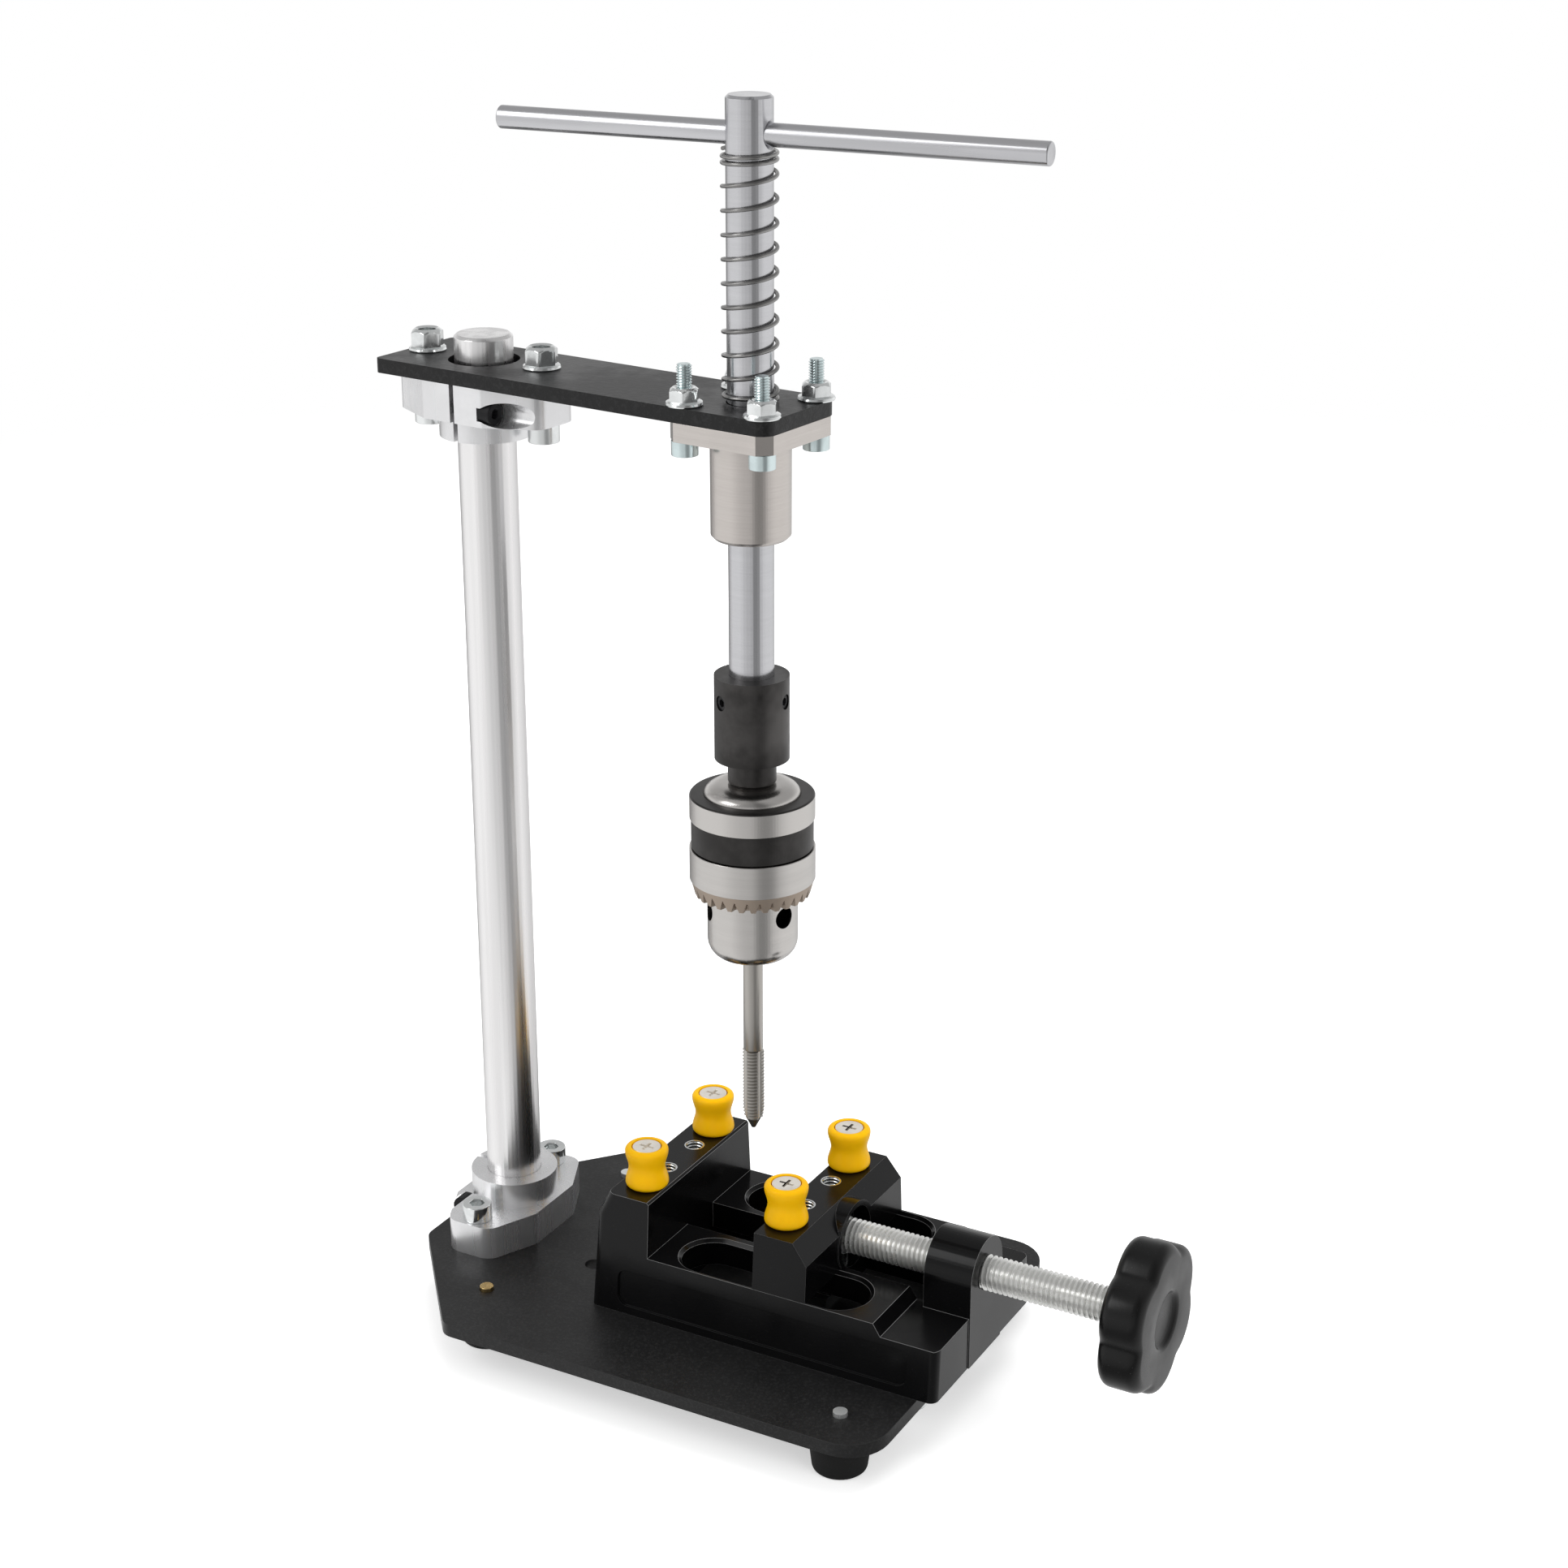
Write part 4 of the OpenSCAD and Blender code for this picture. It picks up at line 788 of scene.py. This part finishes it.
class STAND_OT_guide(DressOperator):
    """Guide bush with its liner, wipers, screws and nuts"""

    bl_idname = "stand.guide"
    bl_label = "Guide bush"

    def execute(self, context):
        s = settings()
        steel = turned_finish("bush steel", s.colours.bush, 0.24, 0.0004)
        bronze = turned_finish("bronze", (0.55, 0.36, 0.18), 0.35)
        rubber = coat_finish("wiper rubber", s.colours.rubber, 0.6, 0.02)
        for node, name, finish, slot in (
            ("guide_housing", "guide_bush", steel, "bush_steel"),
            ("guide_liner", "bronze_liner", bronze, "bronze"),
            ("guide_wipers", "spindle_wipers", rubber, "wiper_rubber"),
        ):
            softened(node, name, s.edges.turned, finish, "arm", slot, axes=[AT_SPINDLE])
        flange_nuts("guide_nuts", "guide_flange_nuts", 7.1 * MM, 4.9 * MM, 2.05 * MM, 0.9 * MM)
        self.screws(s.threads)
        return {"FINISHED"}

    def screws(self, threads):
        """Cap screws with threaded ends that stand above the nuts."""
        joint, tip = high_z("guide_nuts") - MM, high_z("guide_screws")
        heads = trim(soften(solid_of("guide_screws"), 0.2 * MM), joint, 1)
        ends = [
            moved(thread(2 * MM, threads.guide_depth, threads.guide_pitch, joint, tip, 32, 0.4 * MM), axis_of(box))
            for box in solids("guide_nuts")
        ]
        blue = plated_finish("blue zinc", (0.72, 0.83, 0.84), 0.18)
        piece("guide_cap_screws", gather([heads, *ends]), blue, "arm", "guide_screws")


class STAND_OT_spring(DressOperator):
    """Return spring round the spindle"""

    bl_idname = "stand.spring"
    bl_label = "Return spring"

    coil_radius: length("Coil radius", "Radius of the coil to the middle of the wire", 6.85)
    wire_radius: length("Wire radius", "Radius of the wire", 0.525)
    closed_pitch: length("Closed pitch", "Rise of a closed turn", 1.575)
    foot_turns: number("Foot turns", "Closed turns at the foot", 1)
    head_turns: number("Head turns", "Closed turns at the top", 2)
    open_pitch: length("Open pitch", "Rise of an open turn", 6.03)
    steps: IntProperty(name="Steps", description="Rings of the wire in one turn", default=40)

    def execute(self, context):
        low, high = low_z("return_spring"), high_z("return_spring")
        rise = high - low - 2 * self.wire_radius
        open_turns = (rise - (self.foot_turns + self.head_turns) * self.closed_pitch) / self.open_pitch
        bm = bmesh.new()
        start = Matrix.Translation((self.coil_radius, 0, low + self.wire_radius))
        bmesh.ops.create_circle(
            bm, radius=self.wire_radius, segments=14, matrix=start @ Matrix.Rotation(math.radians(90), 4, "X")
        )
        end = bm.verts[:] + bm.edges[:]
        for turns, pitch in (
            (self.foot_turns, self.closed_pitch), (open_turns, self.open_pitch), (self.head_turns, self.closed_pitch)
        ):
            count = round(turns * self.steps)
            end = bmesh.ops.spin(
                bm, geom=end, cent=(0, 0, 0), axis=(0, 0, 1), angle=math.tau * turns, steps=count,
                dvec=(0, 0, pitch * turns / count),
            )["geom_last"]
        bmesh.ops.holes_fill(bm, edges=[e for e in bm.edges if e.is_boundary], sides=0)
        bmesh.ops.recalc_face_normals(bm, faces=bm.faces)
        wire = Finish("spring wire", settings().colours.wire, 1.0, 0.27)
        grain = wire.mottled(1.5, 0.8)
        wire.rough(grain["Mottle"], 0.22, 0.36).bump(grain["Height"], 0.003, 0.6)
        coil = piece("wire_spring", moved(bm, AT_SPINDLE), wire.material, None, "return_spring")
        foot, top = SPINDLE_AXIS.copy(), SPINDLE_AXIS.copy()
        foot.z, top.z = low, high
        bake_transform(coil, "arm", "spring", foot, top)
        return {"FINISHED"}


class STAND_OT_spindle(DressOperator):
    """Spindle, handle bar and arbor"""

    bl_idname = "stand.spindle"
    bl_label = "Spindle"

    def execute(self, context):
        s = settings()
        ground = turned_finish("ground spindle", s.colours.ground, 0.2, 0.0003, 6000.0)
        softened("spindle", "ground_spindle", 0.12 * MM, ground, "spindle", "ground_steel", axes=[AT_SPINDLE])
        bar = drawn_finish("drawn bar", s.colours.ground, 0.24, middle("handle_bar"), (0, math.radians(90), 0))
        softened("handle_bar", "drawn_handle_bar", 0.15 * MM, bar, "spindle", "bar_steel")
        oxide = oxide_finish("black oxide", s.colours.oxide)
        softened("chuck_arbor", "blackened_arbor", s.edges.turned, oxide, "spindle", "black_oxide", axes=[AT_SPINDLE])
        softened("arbor_grub_screws", "grub_screws", 0.15 * MM, black_steel(), "spindle", "black_screw")
        return {"FINISHED"}


def oxide_finish(name, base):
    """Blackened steel with soft mottling and faint rubbed lines."""
    finish = lined(name, base, 0.36, turned_lines(), 2500.0, 0.0006)[0]
    grain = finish.mottled(1.2, 1.9)
    finish.smudged(0.8, 2.4).shaded(finish.rims(), 4.0)
    return finish.rough(grain["Mottle"], 0.3, 0.46).bump(grain["Height"], 0.006, 0.6).material


class STAND_OT_chuck(DressOperator):
    """Key chuck: body, back ring with its black band, toothed sleeve, nut and jaws"""

    bl_idname = "stand.chuck"
    bl_label = "Chuck"

    teeth: IntProperty(name="Teeth", description="Teeth of the bevel ring", default=30)
    tooth_height: length("Tooth height", "Height of the bevel ring", 4.35)
    tooth_share: number("Tooth share", "How much of the bevel ring the gaps reach up", 0.66)
    tooth_depth: length("Tooth depth", "Depth of the gaps at the sleeve's lower edge", 1.9)

    def execute(self, context):
        s = settings()
        jaw = turned_finish("jaw steel", (0.30, 0.29, 0.28), 0.35)
        for node, name, finish, body, slot in (
            ("chuck_body", "chuck_body_steel", self.steel(), "spindle", "chuck_steel"),
            ("chuck_back_ring", "chuck_ring", self.ring(), "spindle", "chuck_steel"),
            ("chuck_nut", "chuck_jaw_nut", jaw, "sleeve", "jaw_steel"),
        ):
            softened(node, name, s.edges.turned, finish, body, slot, axes=[AT_SPINDLE])
        sleeve = moved(self.toothed(), AT_SPINDLE, Matrix.Rotation(ARM_SWING, 4, "Z"))
        piece("chuck_toothed_sleeve", sleeve, self.sleeve(), "sleeve", "chuck_sleeve", angle=30)
        for which in (1, 2, 3):
            node = f"chuck_jaw_{which}"
            softened(node, f"hardened_jaw_{which}", 0.12 * MM, jaw, node, "jaw_steel")
        return {"FINISHED"}

    def toothed(self):
        """The sleeve, with V-shaped gaps that deepen towards its lower edge."""
        low, high = low_z("chuck_sleeve"), high_z("chuck_sleeve")
        outer, inner = half_width("chuck_sleeve"), half_width("chuck_nut") + 0.05 * MM
        step, bore = low_z("chuck_nut"), 12.36 * MM
        edge, foot, rise = outer - 0.3 * MM, outer - 1.4 * MM, self.tooth_height
        bevel = [(foot + (edge - foot) * share / 14, low + (rise - 0.3 * MM) * share / 14) for share in range(15)]
        profile = [
            (bore, low), *bevel, (edge, low + rise), (outer - 0.1 * MM, low + rise), (outer, low + rise + 0.1 * MM),
            (outer, high - 0.15 * MM), (outer - 0.15 * MM, high), (inner, high), (inner, step), (bore, step),
        ]
        half = math.pi / self.teeth
        mouth, steepness = 0.62, 4

        def gap(r, angle, z):
            """The radius with the gaps cut in."""
            side = abs((angle + half) % (2 * half) - half) / half
            share = 1 - (z - low) / (self.tooth_share * rise)
            if r < foot - MERGE:
                return r
            return r - self.tooth_depth * max(0.0, min(1.0, (mouth * share - side) * steepness))

        return reshape(lathe(profile, 480, loop=True), gap)

    def steel(self):
        """Turned steel of the chuck's body, with painted shade inside its bores."""
        finish, streaks = lined("chuck steel", settings().colours.chuck, 0.27, turned_lines(), 4000.0, 0.0003)
        finish.shaded(streaks, 0.97).smudged(0.35, 0.9)
        n, low, bore = finish.nodes, low_z("chuck_body"), 11.6 * MM
        # painted shade: the steel is darkened inside the bores, where shade falls
        inside = n.math("SUBTRACT", 1.0, finish.beyond(bore, 0.5 * MM))
        finish.shaded(n.math("MULTIPLY", inside, finish.band(low + 3 * MM, low + 40 * MM, MM)), 0.06)
        return finish.rough(streaks, 0.22, 0.26).material

    def ring(self):
        """Black annulus and band with a bright rim between them."""
        colours = settings().colours
        finish = lined("chuck ring", colours.oxide, 0.34, turned_lines(), 3000.0, 0.0006)[0]
        finish.mottled(1.2, 1.5)
        top, rim = high_z("chuck_back_ring"), 16.3 * MM
        bright = finish.nodes.math("MULTIPLY", finish.band(top - 6.62 * MM, top - 0.38 * MM), finish.beyond(rim))
        return finish.tint(bright, colours.chuck).rough(bright, 0.36, 0.27).material

    def sleeve(self):
        """Bright sleeve with tan teeth below."""
        colours = settings().colours
        finish, streaks = lined("chuck sleeve", colours.chuck, 0.28, turned_lines(), 4000.0, 0.0006)
        grain = finish.effect(coat_grain(), Scale=1.5)
        low = low_z("chuck_sleeve")
        teeth = finish.band(low - MM, low + 4.3 * MM)
        finish.shaded(streaks, 0.94).tint(teeth, colours.teeth).rough(teeth, 0.28, 0.5)
        return finish.bump(finish.nodes.math("MULTIPLY", grain["Height"], teeth), 0.02).material


class STAND_OT_tap(DressOperator):
    """Tap with its thread, flutes and shank"""

    bl_idname = "stand.tap"
    bl_label = "Tap"

    point: length("Point", "Length of the tap's point", 3.2)
    tapered: length("Tapered", "Length over which the thread grows from the point", 2.6)
    threaded: length("Threaded", "Length of the thread", 20.7)
    flute_radius: length("Flute radius", "Radius of a flute", 1.4)
    flute_place: length("Flute place", "Distance of a flute's axis from the tap's", 3.3)
    flutes: IntProperty(name="Flutes", description="Number of flutes", default=3)

    def flute(self, angle):
        """Distance from the tap's axis to the nearest flute's wall."""
        turn = (angle - ARM_SWING + math.pi / self.flutes) % (math.tau / self.flutes) - math.pi / self.flutes
        reach = self.flute_radius**2 - (self.flute_place * math.sin(turn)) ** 2
        return self.flute_place * math.cos(turn) - math.sqrt(reach) if reach > 0 else 1.0

    def execute(self, context):
        s = settings()
        low, high = low_z("tap"), high_z("tap")
        start, end = low + self.point, low + self.point + self.threaded
        nose, neck, shank = 0.6 * MM, 2.2 * MM, 2.7 * MM
        rod = thread(3 * MM, s.threads.tap_depth, s.threads.tap_pitch, start, end, 72)
        reshape(rod, lambda r, angle, z: min(r * min(1, 0.86 + 0.14 * (z - start) / self.tapered), self.flute(angle)))
        tip = lathe([(0, low), (nose, low), (neck, start), (0, start)], 72)
        reshape(tip, lambda r, angle, z: min(r, self.flute(angle)))
        stem = lathe([
            (0, end), (shank - 0.4 * MM, end), (shank, end + 0.6 * MM), (shank, high - 0.3 * MM),
            (shank - 0.3 * MM, high), (0, high),
        ], 72)
        steel = drawn_finish("tap steel", s.colours.tap, 0.3, SPINDLE_AXIS, relief=0.003)
        piece("hand_tap", moved(gather([tip, rod, stem]), AT_SPINDLE), steel, "spindle", "tap", angle=45)
        return {"FINISHED"}


def vise_enamel(node, holes):
    """Satin black enamel of a casting with a painted highlight on its rounded rims, and bright threads in its spare
    holes.
    """
    colours = settings().colours
    finish = Finish(f"{node} enamel", colours.casting, 0.0, 0.2, Specular_IOR_Level=0.22)
    grain = finish.mottled(0.5, 1.3)
    # painted highlight: the rounded rims are tinted light grey
    finish.dusty(0.5, 0.06).tint(finish.rims(), (0.16, 0.16, 0.16))
    finish.rough(grain["Mottle"], 0.17, 0.27).bump(grain["Height"], 0.008)
    n, bore, depth = finish.nodes, 2.9 * MM, 3 * MM
    place, bare = finish.place, None
    for hole in holes:
        finish.place = n.vector("SUBTRACT", place, tuple(hole))
        inside = n.math("MULTIPLY", n.math("SUBTRACT", 1.0, finish.beyond(bore)), finish.band(-depth, depth))
        bare = inside if bare is None else n.math("MAXIMUM", bare, inside)
    ridges = n.math("MULTIPLY", n.math("SINE", n.math("MULTIPLY", n.height(place), math.tau / MM)), bare)
    finish.tint(bare, colours.zinc)
    n.feed(finish.shader.inputs["Metallic"], bare)
    return finish.bump(ridges, 0.15).material


class STAND_OT_vise(DressOperator):
    """Cast vise body and its moving jaw"""

    bl_idname = "stand.vise"
    bl_label = "Vise"

    spare: length("Spare holes", "Distance from the middle of a jaw to its spare holes", 7.7)

    def execute(self, context):
        s = settings()
        radius = s.edges.casting
        body = softened(
            "vise_body", "cast_vise_body", radius, self.enamel("vise_body", "fixed_pegs"), "base", "vise_casting",
            axes=[AT_SCREW], corner=s.edges.corner,
        )
        self.clear_panel_highlight(body)
        enamel = self.enamel("moving_jaw", "moving_pegs")
        softened("moving_jaw", "cast_moving_jaw", radius, enamel, "moving_jaw", "vise_casting", axes=[AT_SCREW])
        for node, name, edge, slot in (
            ("jaw_keeper_plate", "keeper_plate", s.edges.screw, "zinc"),
            ("jaw_keeper_screws", "keeper_screws", 0.15 * MM, "zinc_screw"),
            ("screw_keeper_pin", "keeper_pin", 0.15 * MM, "zinc"),
        ):
            softened(node, name, edge, zinc_plate(), "moving_jaw", slot)
        return {"FINISHED"}

    def clear_panel_highlight(self, body):
        """Takes the painted highlight off the rims of the sunken side panels, so they stay as dark as the panels."""
        low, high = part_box("vise_body")
        inset, bottom, top, depth = 7 * MM, MM, 15 * MM, 3 * MM
        for face, mark in zip(body.data.polygons, body.data.attributes[EDGE].data):
            x, y, z = face.center
            along, up = low.x + inset < x < high.x - inset, low.z + bottom < z < low.z + top
            if along and up and abs(y) > high.y - depth:
                mark.value = 0.0

    def enamel(self, node, pegs):
        """The casting's enamel, with bare threads at the mouths of the two holes between its pegs."""
        centre = middle(pegs)
        centre.z = high_z(node)
        return vise_enamel(node, [centre + Vector((0, side * self.spare, 0)) for side in (-1, 1)])


class STAND_OT_lead_screw(DressOperator):
    """Threaded lead screw and star knob"""

    bl_idname = "stand.lead_screw"
    bl_label = "Lead screw and knob"

    lobes: IntProperty(name="Lobes", description="Number of lobes of the knob", default=6)
    lobe_radius: length("Lobe radius", "Radius of a lobe", 10)
    valley: angle_of("Valley", "Half the angle that a valley is rounded over", 3.5)

    def rim(self, angle, radius):
        """Distance from the knob's axis to its rim."""
        half = math.pi / self.lobes
        away = abs((angle + half) % (2 * half) - half)
        turn = half - math.hypot(half - away, self.valley)
        centre = radius - self.lobe_radius
        return centre * math.cos(turn) + math.sqrt(self.lobe_radius**2 - (centre * math.sin(turn)) ** 2)

    def execute(self, context):
        s = settings()
        low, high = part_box("vise_screw")
        radius = (high.z - low.z) / 2
        neck, pin = low.x + 8.5 * MM, 4 * MM
        plate = plated_finish("lead screw zinc", s.colours.lead, 0.25, metal=0.65)
        rod = thread(radius, s.threads.lead_depth, s.threads.lead_pitch, neck, high.x, 48)
        journal = soften(lathe([(0, low.x), (pin, low.x), (pin, neck), (0, neck)], 48), 0.2 * MM)
        screw = moved(gather([rod, journal]), AT_SCREW)
        piece("threaded_lead_screw", screw, plate, "lead_screw", "vise_screw", angle=50)
        self.knob(s, radius)
        return {"FINISHED"}

    def knob(self, s, bore):
        """Star knob with rounded lobes and a shallow dish."""
        low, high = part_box("vise_knob")
        outer, back, front = (high.z - low.z) / 2, low.x, high.x
        socket = back + 8.5 * MM
        edge = s.edges.knob
        turns = [math.radians(step * 11.25) for step in range(9)]
        arc = [(outer - edge + edge * math.sin(turn), edge - edge * math.cos(turn)) for turn in turns]
        dish = ((13, 0), (9, 0), (8.3, 0.15), (7.8, 0.6), (7.3, 1.3), (6.5, 1.5), (0, 1.7))
        profile = [
            (0, socket), (bore, socket), (bore, back), (12 * MM, back),
            *((r, back + z) for r, z in arc), *((r, front - z) for r, z in reversed(arc)),
            *((r * MM, front - depth * MM) for r, depth in dish),
        ]
        core = 11 * MM

        def star(r, angle, z):
            """The radius with the lobes, which fade out towards the middle."""
            share = max(0.0, min(1.0, (r - core) / (outer - core)))
            return r - share * (outer - self.rim(angle, outer))

        moulding = coat_finish("knob moulding", s.colours.knob, 0.3, 0.008, 0.6, sheen=0.3)
        knob = moved(reshape(lathe(profile, 180), star), AT_SCREW)
        piece("star_knob", knob, moulding, "lead_screw", "vise_knob", angle=60)


class STAND_OT_pegs(DressOperator):
    """Amber pegs and their screws"""

    bl_idname = "stand.pegs"
    bl_label = "Pegs"

    def execute(self, context):
        s = settings()
        glow = {"Specular_IOR_Level": 0.12, "Subsurface_Weight": 0.15, "Subsurface_Scale": 2 * MM}
        amber = Finish("amber", s.colours.amber, 0.0, 0.36, **glow)
        grain = amber.mottled(0.7, 0.93)
        amber.rough(grain["Mottle"], 0.3, 0.4).bump(grain["Height"], 0.006, 0.7)
        nickel = plated_finish("nickel", (0.92, 0.87, 0.79), 0.35, metal=0.6)
        for which, body in (("fixed", "base"), ("moving", "moving_jaw")):
            axes = [axis_of(box) for box in solids(f"{which}_pegs")]
            pegs = f"{which}_pegs", f"{which}_amber_pegs"
            softened(*pegs, 0.3 * MM, amber.material, body, "amber_peg", angle=50, axes=axes)
            softened(f"{which}_peg_screws", f"{which}_cross_screws", 0.15 * MM, nickel, body, "zinc_screw", axes=axes)
        return {"FINISHED"}


class STAND_OT_studio(DressOperator):
    """Floor, room light, lamps and the camera"""

    bl_idname = "stand.studio"
    bl_label = "Studio"

    def execute(self, context):
        s = settings().studio
        self.floor(s)
        self.room(s)
        target = Vector((0, 0, 0.18))
        self.lamp("key lamp", (-0.9, -1.1, 1.3), target, 0.9, s.key, mirrored=True)
        self.lamp("fill lamp", (1.5, -0.5, 0.8), target, 0.9, s.fill, mirrored=False)
        self.lamp("top lamp", (0.1, 0.5, 1.7), target, 1.2, s.top, mirrored=False)
        self.camera(s)
        context.scene.view_settings.view_transform = "Standard"
        return {"FINISHED"}

    def seen(self, nodes):
        """1 where the camera, a mirror or glass looks at the surface."""
        path = nodes.add("ShaderNodeLightPath").outputs
        both = nodes.math("MAXIMUM", path["Is Camera Ray"], path["Is Glossy Ray"])
        return nodes.math("MAXIMUM", both, path["Is Transmission Ray"])

    def front(self, nodes, vector, s, behind):
        """Brightness in mirrors by direction: darkest a little right of the camera, and if asked also behind."""
        unit = nodes.vector("NORMALIZE", nodes.vector("MULTIPLY", vector, (1, 1, 0)))
        turn = s.azimuth - math.pi / 2
        broad, narrow = turn + math.radians(8), turn + math.radians(24)
        level = s.mirror_side
        for direction, start, depth in ((broad, 0.35, s.mirror_side - s.mirror_front), (narrow, 0.9, s.mirror_dip)):
            toward = (math.cos(direction), math.sin(direction), 0)
            dot = nodes.vector("DOT_PRODUCT", unit, toward, "Value")
            dot = nodes.math("ABSOLUTE", dot) if behind else dot
            level = nodes.math("SUBTRACT", level, nodes.ramp(dot, start, 1.0, 0.0, depth))
        return level

    def floor(self, s):
        """Pale paper that keeps a soft shadow near the stand and fades to plain white away from it."""
        bm = bmesh.new()
        bmesh.ops.create_circle(bm, cap_ends=True, radius=9.0, segments=96)
        mesh = bpy.data.meshes.new("floor")
        bm.to_mesh(mesh)
        bm.free()
        white = (1, 1, 1, 1)
        finish = Finish("floor paper", (0.86, 0.86, 0.86), 0.0, 1.0, Specular_IOR_Level=0.0, Emission_Color=white)
        n = finish.nodes
        mirror = n.add("ShaderNodeLightPath").outputs["Is Glossy Ray"]
        finish.tint(finish.beyond(s.paper_fade * 1.3, s.paper_fade * 0.4), (0, 0, 0))
        finish.tint(mirror, (0, 0, 0))
        glow = n.ramp(finish.beyond(s.paper_fade * 0.8, s.paper_fade * 0.3), 0.0, 1.0, s.floor_glow, 1.0)
        plain = n.math("MULTIPLY", n.math("SUBTRACT", self.seen(n), mirror, True), glow)
        mirrored = n.math("MULTIPLY", mirror, self.front(n, finish.place, s, True))
        n.feed(finish.shader.inputs["Emission Strength"], n.math("ADD", plain, mirrored))
        mesh.materials.append(finish.material)
        linked("floor", mesh)

    def room(self, s):
        """White room, that shows a darker front and ceiling in mirrors."""
        world = bpy.data.worlds.new("room")
        bpy.context.scene.world = world
        world.use_nodes = True
        nodes = Nodes(world.node_tree)
        background = world.node_tree.nodes["Background"]
        background.inputs["Color"].default_value = (1, 1, 1, 1)
        mirror = nodes.add("ShaderNodeLightPath").outputs["Is Glossy Ray"]
        way = nodes.add("ShaderNodeTexCoord").outputs["Generated"]
        ceiling = nodes.ramp(nodes.height(way), 0.0, 0.6, 1.0, s.ceiling)
        mirrored = nodes.math("MULTIPLY", self.front(nodes, way, s, False), ceiling)
        plain = nodes.ramp(self.seen(nodes), 0.0, 1.0, s.ambient, 1.0)
        shown = nodes.add("ShaderNodeMix", inputs={"Factor": mirror, "A": plain, "B": mirrored}).outputs["Result"]
        nodes.feed(background.inputs["Strength"], shown)

    def lamp(self, name, place, target, size, power, mirrored):
        """A square soft light that faces the target, with or without its picture in mirrors."""
        data = bpy.data.lights.new(name, "AREA")
        data.shape = "SQUARE"
        data.size = size
        data.energy = power
        lamp = linked(name, data)
        lamp.location = place
        lamp.rotation_euler = (Vector(place) - target).to_track_quat("Z", "Y").to_euler()
        lamp.visible_glossy = mirrored

    def camera(self, s):
        """The camera, turned by its azimuth and elevation."""
        data = bpy.data.cameras.new("camera")
        data.lens, data.sensor_width = s.lens, 36.0
        data.clip_start, data.clip_end = 0.01, 50.0
        camera = linked("camera", data)
        flat = math.cos(s.elevation)
        back = Vector((math.sin(s.azimuth) * flat, -math.cos(s.azimuth) * flat, math.sin(s.elevation)))
        camera.location = s.camera_place
        camera.rotation_euler = back.to_track_quat("Z", "Y").to_euler()
        bpy.context.scene.camera = camera


# --- add-on


OPERATORS = (
    STAND_OT_base_plate, STAND_OT_column, STAND_OT_arm, STAND_OT_guide, STAND_OT_spring, STAND_OT_spindle,
    STAND_OT_chuck, STAND_OT_tap, STAND_OT_vise, STAND_OT_lead_screw, STAND_OT_pegs, STAND_OT_studio,
)


class STAND_PT_panel(bpy.types.Panel):
    """Lists the pieces of the tapping stand and their settings"""

    bl_idname = "STAND_PT_panel"
    bl_label = "Tapping stand"
    bl_space_type = "VIEW_3D"
    bl_region_type = "UI"
    bl_category = "Tapping stand"

    def draw(self, context):
        for operator in OPERATORS:
            self.layout.operator(operator.bl_idname)
        for name in ("edges", "threads", "colours", "studio"):
            group = getattr(settings(), name)
            box = self.layout.box()
            for field in group.__annotations__:
                box.prop(group, field)


CLASSES = (EdgeSettings, ThreadSettings, ColourSettings, StudioSettings, StandSettings, *OPERATORS, STAND_PT_panel)


def register():
    """Registers the classes and the settings."""
    for cls in CLASSES:
        bpy.utils.register_class(cls)
    bpy.types.Scene.tapping_stand = PointerProperty(type=StandSettings)


def unregister():
    """Takes the settings and the classes out again."""
    del bpy.types.Scene.tapping_stand
    for cls in reversed(CLASSES):
        bpy.utils.unregister_class(cls)


def main():
    """Builds the stand and its studio."""
    register()
    for operator in OPERATORS:
        group, name = operator.bl_idname.split(".")
        getattr(getattr(bpy.ops, group), name)()


if __name__ == "__main__":
    main()
